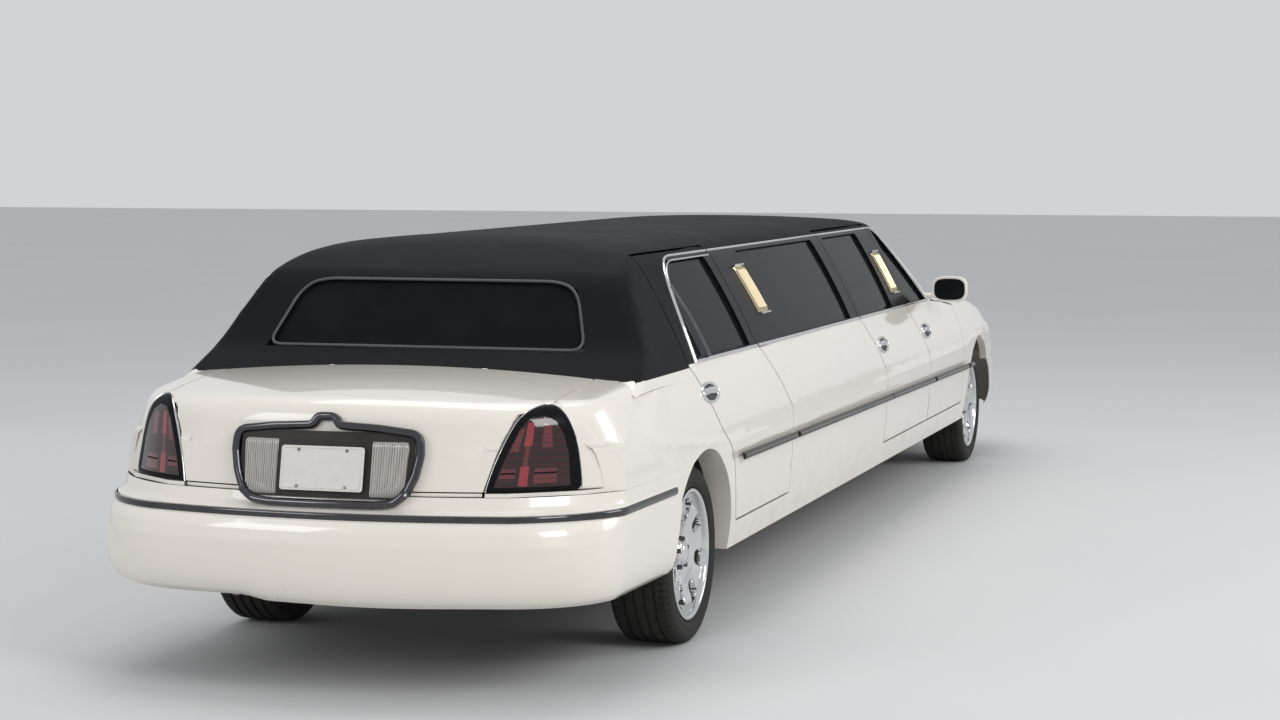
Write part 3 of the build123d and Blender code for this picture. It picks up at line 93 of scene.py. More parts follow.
# Lower body: station, widest half width, top edge height, crown above it
STATIONS = np.array(
    [
        (-1460, 930, 930, 50),
        (-900, 955, 1005, 55),
        (-400, 975, 1045, 40),
        (400, 985, 1054, 20),
        (FRONT_AXLE - 1600, 985, 1030, 20),
        (FRONT_AXLE - 500, 985, 1012, 40),
        (FRONT_AXLE + 200, 975, 950, 75),
        (FRONT_AXLE + 700, 945, 885, 70),
        (FRONT_AXLE + 1100, 930, 840, 50),
    ],
    float,
)
# Its section: heights of the widest line and the foot, how far the top and the foot lie inside that line
WIDEST_Z, FOOT_Z = 670, 300
LEAN_IN, TUCK_UNDER = 100, 35
SHOULDER_EASE, END_EASE = 34, 70
# Plan of the tail and the nose, low and high: centre x, part-way x and y, corner x and y
TAIL_PLAN = np.array([(-1420, -1350, 620, -1190, 850), (-1240, -1130, 640, -980, 830)], float)
NOSE_PLAN = np.array(
    [
        (FRONT_AXLE + 1000, FRONT_AXLE + 900, 640, FRONT_AXLE + 760, 850),
        (FRONT_AXLE + 880, FRONT_AXLE + 800, 640, FRONT_AXLE + 640, 840),
    ],
    float,
)
PLAN_LOW_Z, PLAN_HIGH_Z = 250, 1150
# From its corner the plan runs this far along the car until it is this far from the middle
FLANK_RUN, FLANK_Y = 260, 1025
PLAN_EASE = 60

# Cabin from the side: three points of the rear window, bows at both ends of the roof, foot of the windshield
WINDOW_FOOT, WINDOW_BEND, WINDOW_TOP = (-640, 1000), (-400, 1142), (-215, 1395)
ROOF_TOP = 1535
REAR_BOW = [WINDOW_TOP, (60, 1493), (700, ROOF_TOP)]
FRONT_BOW = [(FRONT_AXLE - 2700, ROOF_TOP), (FRONT_AXLE - 2150, 1521), (HEADER_X, 1483)]
WINDSHIELD_FOOT = (COWL_X + 32, 1000)
# Cabin section: half width and height of the wall's foot and of the gutter, the wall's bulge and its stretch
CABIN_FOOT, GUTTER = (905, 1000), (690, 1452)
WALL_BULGE, WALL_STRETCH = 48, 1.107
GUTTER_FACING = (0.491, 0.871)
CROWN_HALF, CROWN_FOOT_Z, CROWN_RISE = 612, 1496, 39
GUTTER_EASE, ROOF_EASE = 30, 40


def between(x, xs, ys):
    """A smooth curve through a table."""
    slopes = np.gradient(ys, xs)
    i = np.clip(np.searchsorted(xs, x) - 1, 0, len(xs) - 2)
    span = xs[i + 1] - xs[i]
    t = np.clip((x - xs[i]) / span, 0, 1)
    rise = t * t * (3 - 2 * t)
    lead = slopes[i] * span * t * (1 - t) ** 2
    trail = slopes[i + 1] * span * t * t * (t - 1)
    return ys[i] * (1 - rise) + ys[i + 1] * rise + lead + trail


def softer(a, b, k):
    """The larger of two distances, with a rounded corner between them."""
    return np.maximum(a, b) + np.maximum(k - np.abs(a - b), 0) ** 2 / (4 * k)


def end_distance(x, y, z, plan, sign, ease=1.0):
    """How far a point is outside the tail or the nose."""
    low, high = plan
    f = np.clip((z - PLAN_LOW_Z) / (PLAN_HIGH_Z - PLAN_LOW_Z), 0, 1)
    cx, px, py, kx, ky = (low[i] + (high[i] - low[i]) * f for i in range(5))
    lines = [
        (cx + (px - cx) * (y / py) ** 2, 2 * (px - cx) * y / py**2),
        (px + (kx - px) * (y - py) / (ky - py), (kx - px) / (ky - py)),
        (kx + sign * FLANK_RUN * (y - ky) / (FLANK_Y - ky), sign * FLANK_RUN / (FLANK_Y - ky)),
    ]
    bow, bend, corner = (sign * (line - x) / np.sqrt(1 + slope**2) for line, slope in lines)
    return softer(softer(bow, bend, PLAN_EASE * ease), corner, PLAN_EASE * ease)


def body_distance(x, y, z, ease=1.0):
    """How far a point is outside the lower body, in millimetres."""
    y = np.abs(y)
    half, top, crown = (between(x, STATIONS[:, 0], STATIONS[:, i]) for i in (1, 2, 3))
    above = np.clip((z - WIDEST_Z) / (top - WIDEST_Z), 0, None)
    below = np.clip((WIDEST_Z - z) / (WIDEST_Z - FOOT_Z), 0, None)
    side = half - LEAN_IN * above**2 - TUCK_UNDER * below**2
    flank = (y - side) / np.sqrt(1 + (2 * LEAN_IN * above / (top - WIDEST_Z)) ** 2)
    lid = z - top - crown * (1 - (y / (half - LEAN_IN)) ** 2)
    skin = softer(flank, lid, SHOULDER_EASE * ease)
    skin = softer(skin, end_distance(x, y, z, TAIL_PLAN, 1, ease), END_EASE * ease)
    return softer(skin, end_distance(x, y, z, NOSE_PLAN, -1, ease), END_EASE * ease)


def line_height(x, a, b):
    """Height at x on the straight line through two points."""
    return a[1] + (x - a[0]) * (b[1] - a[1]) / (b[0] - a[0])


def bow_height(x, a, b, c):
    """Height at x on the circle through three points."""
    (x1, y1), (x2, y2), (x3, y3) = a, b, c
    d = 2 * (x1 * (y2 - y3) + x2 * (y3 - y1) + x3 * (y1 - y2))
    s1, s2, s3 = x1 * x1 + y1 * y1, x2 * x2 + y2 * y2, x3 * x3 + y3 * y3
    cx = (s1 * (y2 - y3) + s2 * (y3 - y1) + s3 * (y1 - y2)) / d
    cy = (s1 * (x3 - x2) + s2 * (x1 - x3) + s3 * (x2 - x1)) / d
    return cy + np.sqrt(np.maximum((x1 - cx) ** 2 + (y1 - cy) ** 2 - (x - cx) ** 2, 0))


def roof_line():
    """The top of the cabin seen from the side, with its corners eased."""
    x = np.arange(-900.0, 5300.0, 10.0)
    z = np.full(len(x), float(ROOF_TOP))
    z = np.where(x < REAR_BOW[2][0], bow_height(x, *REAR_BOW), z)
    z = np.where(x < WINDOW_TOP[0], line_height(x, WINDOW_BEND, WINDOW_TOP), z)
    z = np.where(x < WINDOW_BEND[0], line_height(x, WINDOW_FOOT, WINDOW_BEND), z)
    z = np.where(x > FRONT_BOW[0][0], bow_height(x, *FRONT_BOW), z)
    z = np.where(x > HEADER_X, line_height(x, FRONT_BOW[2], WINDSHIELD_FOOT), z)
    eased = np.convolve(np.pad(z, 4, mode="edge"), np.ones(9) / 9, mode="valid")
    return x, eased


ROOF_X, ROOF_Z = roof_line()
ROOF_SLOPE = np.gradient(ROOF_Z, ROOF_X)


def cabin_distance(x, y, z, ease=1.0):
    """How far a point is outside the cabin, in millimetres."""
    y = np.abs(y)
    t = (z - CABIN_FOOT[1]) / (GUTTER[1] - CABIN_FOOT[1])
    side = CABIN_FOOT[0] - (CABIN_FOOT[0] - GUTTER[0]) * t + WALL_BULGE * t * (1 - t)
    wall = (y - side) / WALL_STRETCH
    edge = (y - GUTTER[0]) * GUTTER_FACING[0] + (z - GUTTER[1]) * GUTTER_FACING[1]
    crown = z - CROWN_FOOT_Z - CROWN_RISE * (1 - (y / CROWN_HALF) ** 2)
    crown = crown / np.sqrt(1 + (2 * CROWN_RISE * y / CROWN_HALF**2) ** 2)
    across = softer(softer(wall, edge, GUTTER_EASE * ease), crown, GUTTER_EASE * ease)
    slope = np.interp(x, ROOF_X, ROOF_SLOPE)
    along = (z - np.interp(x, ROOF_X, ROOF_Z)) / np.sqrt(1 + slope**2)
    return softer(across, along, ROOF_EASE * ease)


def car_distance(x, y, z, ease=1.0):
    """How far a point is outside the body and the cabin together, in millimetres."""
    return np.minimum(body_distance(x, y, z, ease), cabin_distance(x, y, z, ease))


def slope_of(distance, p):
    """Direction in which a distance grows, at each point."""
    h = 0.5
    parts = []
    for axis in range(3):
        step = np.zeros(3)
        step[axis] = h
        parts.append(distance(*(p + step).T) - distance(*(p - step).T))
    grad = np.stack(parts, 1)
    return grad / np.maximum(np.linalg.norm(grad, axis=1, keepdims=True), 1e-9)


def settle(distance, p):
    """Points moved onto a surface by the shortest way."""
    for _ in range(3):
        p = p - distance(*p.T)[:, None] * slope_of(distance, p)
    return p


def onto(distance, p, direction, offset=0.0):
    """Points slid along one direction until they lie offset millimetres outside the skin."""
    direction = np.array(direction, float)
    for _ in range(10):
        rise = distance(*(p + direction * 0.5).T) - distance(*(p - direction * 0.5).T)
        p = p - np.clip((distance(*p.T) - offset) / rise, -120, 120)[:, None] * direction
    return p


# Shader building blocks


class Socket:
    """A shader value that takes part in ordinary sums."""

    def __init__(self, make, link):
        self.make = make
        self.link = link

    def join(self, operation, a, b):
        return self.make.node("ShaderNodeMath", {"operation": operation}, {0: a, 1: b})

    def __add__(self, other):
        return self.join("ADD", self, other)

    def __radd__(self, other):
        return self.join("ADD", other, self)

    def __sub__(self, other):
        return self.join("SUBTRACT", self, other)

    def __rsub__(self, other):
        return self.join("SUBTRACT", other, self)

    def __mul__(self, other):
        return self.join("MULTIPLY", self, other)

    def __rmul__(self, other):
        return self.join("MULTIPLY", other, self)


FINISHES = {}


class Finish:
    """One material: its nodes and its main shader. Colours are given as red, green and blue."""

    def __init__(self, key, name, **values):
        self.material = bpy.data.materials.new(name)
        self.material.use_nodes = True
        self.tree = self.material.node_tree
        self.shader = self.tree.nodes["Principled BSDF"]
        for socket, value in values.items():
            self.set(socket.replace("_", " "), value)
        FINISHES[key] = self.material

    def node(self, kind, settings=None, inputs=None, output=0):
        """A node of any type: its settings come first, then the values or links of its sockets."""
        made = self.tree.nodes.new(kind)
        for key, value in (settings or {}).items():
            setattr(made, key, value)
        for key, value in (inputs or {}).items():
            self.feed(made.inputs[key], value)
        return Socket(self, made.outputs[output])

    def feed(self, target, value):
        if isinstance(value, Socket):
            self.tree.links.new(value.link, target)
        else:
            target.default_value = (*value, 1.0) if target.type == "RGBA" else value

    def set(self, name, value):
        self.feed(self.shader.inputs[name], value)

    def place(self):
        return self.node("ShaderNodeTexCoord", output="Object")

    def along(self, axis):
        """One coordinate of the place: 0 is along the car, 1 across it, 2 its height."""
        return self.node("ShaderNodeSeparateXYZ", {}, {0: self.place()}, axis)

    def noise(self, scale, detail=3.0, rough=0.5, vector=None):
        inputs = {"Scale": scale, "Detail": detail, "Roughness": rough, "Vector": vector or self.place()}
        return self.node("ShaderNodeTexNoise", {}, inputs)

    def cells(self, scale):
        """Soft cells, as in the grain of vinyl and leather."""
        inputs = {"Scale": scale, "Vector": self.place()}
        return self.node("ShaderNodeTexVoronoi", {"feature": "SMOOTH_F1"}, inputs)

    def wave(self, value):
        return self.node("ShaderNodeMath", {"operation": "SINE"}, {0: value})

    def ramp(self, value, low, high):
        """0 below low, 1 above high, smooth between."""
        settings = {"interpolation_type": "SMOOTHSTEP", "clamp": True}
        inputs = {"Value": value, "From Min": low, "From Max": high, "To Min": 0.0, "To Max": 1.0}
        return self.node("ShaderNodeMapRange", settings, inputs)

    def blend(self, factor, first, second):
        """A colour between two colours."""
        return self.node("ShaderNodeMix", {"data_type": "RGBA"}, {0: factor, 6: first, 7: second}, 2)

    def tint(self, factor, first, second):
        self.set("Base Color", self.blend(factor, first, second))

    def bump(self, height, strength, distance):
        inputs = {"Height": height, "Strength": strength, "Distance": distance}
        self.set("Normal", self.node("ShaderNodeBump", {}, inputs))


def mottled(key, name, grain, first, second, roughness, swing=0.0, **values):
    """A finish whose colour wanders between two shades with a noise, and its roughness too if it swings."""
    finish = Finish(key, name, Roughness=roughness, **values)
    cloud = finish.noise(*grain)
    finish.tint(cloud, first, second)
    if swing:
        finish.set("Roughness", roughness + cloud * swing)
    return finish


PAINT_SHADE = (0.70, 0.64, 0.56)


def weathered(finish, colour, wear, factor, soil):
    """Paint of a slightly wandering tone, soiled by a factor and dulled by the wear."""
    film = finish.noise(2.6, 4.0, 0.6)
    tone = finish.blend(finish.ramp(film, 0.35, 0.7) * 0.10, colour, PAINT_SHADE)
    finish.tint(factor, tone, soil)
    finish.set("Roughness", 0.28 + wear * 0.5 + film * 0.06)


def make_paints(colour):
    """The pearl paint, dusty low down, and the bumpers', chipped at their lower corners."""
    paint = Finish("paint", "pearl_paint", Coat_Weight=1.0, Coat_Roughness=0.03)
    low = 1 - paint.ramp(paint.along(2), 0.30, 0.62)
    dust = low * paint.ramp(paint.noise(9.0, 5.0, 0.65), 0.40, 0.75) * 0.22
    weathered(paint, colour, dust, dust, (0.42, 0.36, 0.29))
    paint.bump(paint.noise(420.0, 2.0, 0.5), 0.03, 0.001)

    bumper = Finish("bumper", "bumper_paint", Coat_Weight=1.0, Coat_Roughness=0.04)
    across = bumper.along(1)
    low = 1 - bumper.ramp(bumper.along(2), 0.34, 0.46)
    scrape = bumper.ramp(bumper.noise(34.0, 5.0, 0.7), 0.60, 0.68)
    middle = bumper.ramp(across, 0.05, 0.12) * (1 - bumper.ramp(across, 0.16, 0.24))
    chip = scrape * low * (bumper.ramp(across, 0.80, 0.90) + middle)
    weathered(bumper, colour, chip, chip * 0.7, (0.16, 0.13, 0.11))


def make_trims():
    """Vinyl, metals, glass and plastics of the outside."""
    shades = (0.004, 0.0045, 0.005), (0.010, 0.0105, 0.0115)
    vinyl = mottled("vinyl", "grained_vinyl", (3.5, 4.0, 0.6), *shades, 0.50, 0.22, Specular_IOR_Level=0.09)
    vinyl.bump(vinyl.cells(240.0) * 0.7 + vinyl.noise(620.0, 3.0, 0.6) * 0.5, 0.55, 0.0012)

    shades = (0.78, 0.79, 0.80), (0.62, 0.62, 0.62)
    mottled("chrome", "bright_chrome", (14.0, 4.0, 0.6), *shades, 0.05, 0.08, Metallic=1.0)
    # Chrome whose colour is darkened to stand in for dark surroundings mirrored in it: a painted reflection
    shades = (0.11, 0.11, 0.12), (0.065, 0.065, 0.07)
    mottled("chrome_painted_with_dark_reflection", "chrome_painted_with_dark_reflection", (11.0, 4.0, 0.6), *shades, 0.04, 0.08, Metallic=1.0)
    mottled("gilt", "gilt_chrome", (30.0,), (0.62, 0.53, 0.36), (0.46, 0.38, 0.24), 0.2, Metallic=1.0)

    shades = (0.006, 0.007, 0.008), (0.014, 0.015, 0.016)
    see_through = {"Specular_IOR_Level": 0.04, "Alpha": 0.88}
    mottled("glass", "tinted_glass", (6.0, 4.0, 0.6), *shades, 0.015, 0.03, **see_through)
    shades = (0.008, 0.008, 0.009), (0.014, 0.014, 0.015)
    mottled("black", "gloss_black", (8.0,), *shades, 0.2, Specular_IOR_Level=0.03)

    shades = (0.022, 0.018, 0.016), (0.045, 0.038, 0.033)
    mottled("moulding", "side_moulding", (18.0, 4.0, 0.6), *shades, 0.22, 0.2, Specular_IOR_Level=0.2)
    mottled("grey", "grey_seal", (40.0,), (0.16, 0.16, 0.16), (0.10, 0.10, 0.10), 0.35)
    mottled("seal", "window_seal", (30.0,), (0.045, 0.047, 0.050), (0.070, 0.072, 0.075), 0.4)
    shades = (0.020, 0.020, 0.021), (0.032, 0.031, 0.030)
    plastic = mottled("plastic", "grained_plastic", (20.0,), *shades, 0.55)
    plastic.bump(plastic.noise(900.0, 2.0, 0.6), 0.3, 0.0006)
    mottled("plate", "plate_metal", (25.0,), (0.72, 0.70, 0.66), (0.62, 0.60, 0.56), 0.4)


def make_running_gear():
    """Chassis black with rust, worn steel and tyre rubber."""
    under = Finish("under", "chassis_black")
    rust = under.ramp(under.noise(7.0, 6.0, 0.7), 0.56, 0.74)
    under.tint(rust * 0.6, (0.020, 0.020, 0.020), (0.11, 0.055, 0.028))
    under.set("Roughness", 0.55 + rust * 0.35)
    under.bump(under.noise(60.0, 5.0, 0.7), 0.4, 0.002)

    steel = Finish("steel", "worn_steel", Metallic=1.0)
    stain = steel.noise(9.0, 6.0, 0.7)
    steel.tint(steel.ramp(stain, 0.4, 0.7), (0.36, 0.35, 0.34), (0.16, 0.11, 0.08))
    steel.set("Roughness", 0.35 + stain * 0.4)

    shades = (0.012, 0.012, 0.012), (0.040, 0.038, 0.035)
    rubber = mottled("rubber", "tyre_rubber", (11.0, 5.0, 0.65), *shades, 0.68, 0.25, Specular_IOR_Level=0.3)
    rubber.bump(rubber.noise(300.0, 3.0, 0.6), 0.35, 0.0008)


def make_lenses():
    """Red lens with fine bands, ribbed red blocks, the light pipe and the clear fluted lens."""
    red = Finish(
        "red", "red_lens", Roughness=0.06, Coat_Weight=0.6, Coat_Roughness=0.02, Specular_IOR_Level=0.4
    )
    band = red.wave(red.along(2) * 260.0)
    shade = red.ramp(band, -0.4, 0.7) * 0.6 + red.noise(14.0) * 0.3
    red.tint(shade, (0.010, 0.001, 0.001), (0.038, 0.002, 0.004))
    red.bump(band, 0.10, 0.001)

    glow = Finish("glow", "red_block", Roughness=0.06, Coat_Weight=1.0, Coat_Roughness=0.02)
    rib = glow.ramp(glow.wave(glow.along(2) * 420.0), -0.6, 0.8)
    glow.tint(rib * 0.5 + glow.noise(16.0) * 0.4, (0.050, 0.001, 0.003), (0.17, 0.004, 0.010))

    mottled("pipe", "light_pipe", (40.0,), (0.16, 0.006, 0.012), (0.34, 0.020, 0.032), 0.05, Coat_Weight=1.0)

    clear = Finish("clear", "fluted_lens", Roughness=0.08, Coat_Weight=1.0, Coat_Roughness=0.02)
    flute = clear.wave(clear.along(1) * 700.0)
    shade = clear.ramp(flute, -0.9, 0.9) * 0.5 + clear.noise(7.0, 2.0) * 0.4
    clear.tint(shade, (0.22, 0.21, 0.19), (0.66, 0.63, 0.58))
    clear.bump(flute, 0.5, 0.003)


def make_interior():
    """Leather, veneered wood and carpet."""
    shades = (0.045, 0.042, 0.040), (0.080, 0.074, 0.070)
    leather = mottled("leather", "seat_leather", (5.0, 4.0, 0.6), *shades, 0.42, 0.2, Specular_IOR_Level=0.4)
    leather.bump(leather.cells(180.0), 0.35, 0.001)

    wood = Finish("wood", "cabinet_wood", Roughness=0.2, Coat_Weight=0.8, Coat_Roughness=0.04)
    stretch = wood.node("ShaderNodeMapping", {}, {"Vector": wood.place(), "Scale": (0.8, 9.0, 9.0)})
    figure = wood.ramp(wood.noise(6.0, 6.0, 0.65, stretch), 0.35, 0.68)
    wood.tint(figure, (0.035, 0.012, 0.006), (0.16, 0.065, 0.025))

    carpet = mottled("carpet", "carpet", (160.0,), (0.020, 0.019, 0.018), (0.045, 0.042, 0.040), 0.95)
    carpet.bump(carpet.noise(700.0, 2.0, 0.7), 0.6, 0.002)


# Meshes and pieces


def mesh_from(bm, name, sharp):
    """A mesh from a bmesh: seams merged, faces turned outward, shaded smooth up to an angle in degrees."""
    bmesh.ops.remove_doubles(bm, verts=bm.verts, dist=MERGE)
    bmesh.ops.recalc_face_normals(bm, faces=bm.faces)
    for face in bm.faces:
        face.smooth = True
    mesh = bpy.data.meshes.new(name)
    bm.to_mesh(mesh)
    bm.free()
    mesh.set_sharp_from_angle(angle=math.radians(sharp))
    return mesh


def add_mesh(name, mesh, body, *finishes):
    """A new piece in the scene with its finishes, riding on its body."""
    obj = bpy.data.objects.new(name, mesh)
    bpy.context.scene.collection.objects.link(obj)
    for finish in finishes:
        mesh.materials.append(FINISHES[finish])
    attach(obj, body)
    return obj


def add_piece(name, bm, body, *finishes, sharp=35):
    """A new piece made from a bmesh."""
    return add_mesh(name, mesh_from(bm, name, sharp), body, *finishes)


def grid(rows, columns, place, wrap_rows=False, wrap_columns=False):
    """A grid of quads; place gives the points of all corners from their row and column numbers."""
    bm = bmesh.new()
    bmesh.ops.create_grid(bm, x_segments=rows, y_segments=columns, size=0.5)
    corners = np.array([vert.co[:2] for vert in bm.verts]) + 0.5
    i = np.rint(corners[:, 0] * rows).astype(int)
    j = np.rint(corners[:, 1] * columns).astype(int)
    if wrap_rows:
        i %= rows
    if wrap_columns:
        j %= columns
    for vert, point in zip(bm.verts, place(i, j)):
        vert.co = point
    bmesh.ops.remove_doubles(bm, verts=bm.verts, dist=MERGE)
    return bm


def on_rim(i, j, rows, columns):
    """Whether corners of a grid lie on its border."""
    return (i == 0) | (i == rows) | (j == 0) | (j == columns)


def run(points, step=15.0, ease=0, closed=False):
    """Evenly spaced points along a line through given points, with its corners eased over a few steps."""
    p = np.array(points, float)
    if closed:
        p = np.vstack([p, p[:1]])
    lengths = np.concatenate([[0], np.cumsum(np.linalg.norm(np.diff(p, axis=0), axis=1))])
    count = max(int(lengths[-1] / step), 2)
    t = np.linspace(0, lengths[-1], count + 1)
    q = np.stack([np.interp(t, lengths, column) for column in p.T], 1)
    if closed:
        q = q[:-1]
    if ease:
        kernel = np.ones(2 * ease + 1) / (2 * ease + 1)
        mode = {"mode": "wrap"} if closed else {"mode": "reflect", "reflect_type": "odd"}
        q = np.stack([np.convolve(np.pad(column, ease, **mode), kernel, "valid") for column in q.T], 1)
    return q


def swept(p, ups, profile, closed=False):
    """A profile of (across, above) points in millimetres pulled along a line of stations."""
    ahead = np.roll(p, -1, 0) - np.roll(p, 1, 0) if closed else np.gradient(p, axis=0)
    ahead /= np.linalg.norm(ahead, axis=1, keepdims=True)
    across = np.cross(ups, ahead)
    across /= np.linalg.norm(across, axis=1, keepdims=True)
    section = np.array(profile, float)

    def place(i, j):
        return from_stations(p[i] + across[i] * section[j, :1] + ups[i] * section[j, 1:])

    bm = grid(len(p) if closed else len(p) - 1, len(section), place, closed, True)
    if not closed:
        bmesh.ops.holes_fill(bm, edges=[edge for edge in bm.edges if edge.is_boundary], sides=0)
    return bm


def half_round(width, height, sink=2.0, steps=6):
    """A low rounded profile that stands on a skin."""
    turn = np.linspace(0, math.pi, steps + 1)
    arch = [(width / 2 * math.cos(a), height * math.sin(a)) for a in turn]
    return [(width / 2, -sink), *arch, (-width / 2, -sink)]


def beside(x, y, z):
    """Points at many stations and heights, all at one distance from the middle of the car."""
    return np.stack([x, np.full(len(x), float(y)), z], 1)


def on_flank(path, side, **options):
    """A line of (station, height) points laid on one side of the car, and the outward directions along it."""
    line = run(path, **options)
    p = onto(car_distance, beside(line[:, 0], 900 * side, line[:, 1]), (0, side, 0))
    return p, slope_of(car_distance, p)


def flank_strip(name, path, side, profile, finish, body, **options):
    """A strip of trim along one side of the car."""
    p, ups = on_flank(path, side, **options)
    return add_piece(name, swept(p, ups, profile, options.get("closed", False)), body, finish)


def inside(outline, a, b):
    """Whether a point lies inside an outline."""
    hit = False
    for (a1, b1), (a2, b2) in zip(outline, outline[1:] + outline[:1]):
        if (b1 > b) != (b2 > b) and a < a1 + (b - b1) * (a2 - a1) / (b2 - b1):
            hit = not hit
    return hit


def bisect(bm, point, normal):
    """Cuts the whole mesh by a plane and keeps both halves."""
    geometry = bm.verts[:] + bm.edges[:] + bm.faces[:]
    bmesh.ops.bisect_plane(bm, geom=geometry, dist=MERGE, plane_co=point, plane_no=normal)


def cut_along(bm, outline, axis, sides=(1,)):
    """Cuts a mesh along the edges of an outline, seen from the side (axis 0) or the end (axis 1)."""
    shift = AXLE_X if axis == 0 else 0
    for side in sides:
        for (a1, b1), (a2, b2) in zip(outline, outline[1:] + outline[:1]):
            point, normal = Vector((0, 0, b1 / 1000)), Vector((0, 0, side * (a1 - a2)))
            point[axis] = side * a1 / 1000 + shift
            normal[axis] = b2 - b1
            bisect(bm, point, normal)


def slices(bm, axis, places):
    """Cuts a mesh by planes across one axis, in row metres."""
    normal = Vector((0, 0, 0))
    normal[axis] = 1
    for place in places:
        bisect(bm, normal * place, normal)


# Points down to this far inside the skin are drawn onto it, and those this much deeper stay as they are
DRAWN_DEPTH, DRAWN_FADE = 6, 9
# No cut lies closer than this to the ends, or the top, bottom and sides, of a panel, in metres
END_ROOM, EDGE_ROOM = 0.01, 0.004


def refined(node, *finishes, pick=None, outline=None, step=0.09, heights=(), widths=()):
    """A finely cut copy of a panel, drawn onto the smooth skin where it lies near it and shaded like it.
    pick gives the number of a face's finish from the station, side and height of its centre."""
    bm = bmesh.new()
    bm.from_mesh(NODES[node].data)
    bmesh.ops.remove_doubles(bm, verts=bm.verts, dist=1e-5)
    low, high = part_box(node)
    slices(bm, 0, np.arange(low[0] + step, high[0] - END_ROOM, step))
    for axis, places in ((2, heights), (1, widths)):
        slices(bm, axis, [v for v in places if low[axis] + EDGE_ROOM < v < high[axis] - EDGE_ROOM])
    if outline:
        cut_along(bm, outline, 0)
    mesh = bpy.data.meshes.new(node + "_skin")
    bm.to_mesh(mesh)
    bm.free()
    coords = np.zeros(len(mesh.vertices) * 3)
    mesh.vertices.foreach_get("co", coords)
    p = to_stations(coords.reshape(-1, 3))
    depth = car_distance(*p.T, 0.001)
    drawn = np.clip((depth + DRAWN_DEPTH + DRAWN_FADE) / DRAWN_FADE, 0, 1)[:, None]
    p += drawn * (settle(car_distance, p) - p)
    mesh.vertices.foreach_set("co", from_stations(p).ravel())
    mesh.update()
    outward = slope_of(car_distance, p)
    near = (depth > 1 - DRAWN_DEPTH) & (np.abs(car_distance(*p.T)) < 1)
    normals = np.zeros((len(mesh.loops), 3))
    for poly in mesh.polygons:
        poly.use_smooth = True
        ids = list(poly.vertices)
        smooth = near[ids].all() and np.dot(outward[ids].mean(0), poly.normal) > 0.5
        if pick:
            poly.material_index = pick(*p[ids].mean(0))
        for loop in poly.loop_indices:
            normals[loop] = outward[mesh.loops[loop].vertex_index] if smooth else poly.normal
    mesh.normals_split_custom_set([tuple(n) for n in normals])
    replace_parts(add_mesh(node + "_skin", mesh, BODY_OF[node], *finishes), node)


# Where panels are cut finer, in metres: heights of the flanks and shoulders, of the cabin, and widths
SHOULDER = [z / 1000 for z in [*range(420, 700, 40), *range(700, 960, 26), *range(960, 1070, 7)]]
CABIN = [z / 1000 for z in [*range(1075, 1430, 30), *range(1430, 1540, 7)]]
ACROSS = [y / 1000 for y in range(-960, 961, 40)]
CORNERS = [side * y / 1000 for side in (-1, 1) for y in range(540, 960, 20)]

# Outline of all side windows inside their bright bead: stations and heights
BELT_REAR, BELT_FRONT = (168, 1050), (4805, 1030)
RAIL_Z = 1446
ARC = [(190, 1195), (249, 1350), (310, 1415), (390, RAIL_Z)]
A_PILLAR = [(HEADER_X - 68, RAIL_Z), (HEADER_X, RAIL_Z - 38)]
DAYLIGHT = [BELT_REAR, *ARC, *A_PILLAR, BELT_FRONT]

# Seams between the panels of a side at the height of the mouldings, and how far they lie back higher up
REAR_DOOR_END = 1340
MIDDLE_DOOR_START = FRONT_AXLE - 2721
FRONT_DOOR_START = FRONT_AXLE - 1590
FRONT_DOOR_END = FRONT_AXLE - 558
RAIL_LEAN = -320
BELT_LEAN = -235

# Side mouldings: rear and front end of their line, and their room at a door's front seam when the door swings
MOULDING_REAR, MOULDING_FRONT = (455, 663), (FRONT_AXLE - 385, 615)
MOULDING_ROOM = 24


def side_panels(side):
    """Body, rear and front seam station of each panel along one side."""
    word = "right" if side < 0 else "left"
    middle = [("body", REAR_DOOR_END, FRONT_DOOR_START)]
    if side < 0:
        middle = [("body", REAR_DOOR_END, MIDDLE_DOOR_START)]
        middle.append(("right_middle_door", MIDDLE_DOOR_START, FRONT_DOOR_START))
    return [
        (word + "_rear_door", 0, REAR_DOOR_END),
        *middle,
        (word + "_front_door", FRONT_DOOR_START, FRONT_DOOR_END),
        ("body", FRONT_DOOR_END, FRONT_AXLE),
    ]


class LimousineSettings(bpy.types.PropertyGroup):
    """Colours and sizes that a user would change"""

    paint: bpy.props.FloatVectorProperty(
        name="Paint",
        description="Colour of the painted panels",
        subtype="COLOR",
        default=(0.80, 0.75, 0.67),
        min=0,
        max=1,
    )
    bead: bpy.props.FloatProperty(
        name="Bead width",
        description="Width of the bright beads round the side windows",
        subtype="DISTANCE",
        default=0.011,
    )
    moulding: bpy.props.FloatProperty(
        name="Moulding height",
        description="Height of the dark moulding along the doors",
        subtype="DISTANCE",
        default=0.030,
    )
    tread_blocks: bpy.props.IntProperty(
        name="Tread blocks",
        description="Shoulder blocks round each tyre",
        default=72,
    )


def door_finish(x, y, z):
    """Number of the finish of a door's face: paint, gloss black round the glass, vinyl beyond it."""
    if z < line_height(np.clip(x, BELT_REAR[0], BELT_FRONT[0]), BELT_REAR, BELT_FRONT):
        return 0
    if inside(DAYLIGHT, x, z):
        return 1
    return 0 if x > HEADER_X - 60 else 2


def roof_finish(x, y, z):
    """Vinyl, gloss black round the side glass, paint on the windshield pillars, plastic on the cowl."""
    if x > COWL_X - 40 and z < 1040 and abs(y) < 790:
        return 3
    if abs(y) > 560 and inside(DAYLIGHT, x, z):
        return 1
    return 2 if x > HEADER_X - 30 else 0


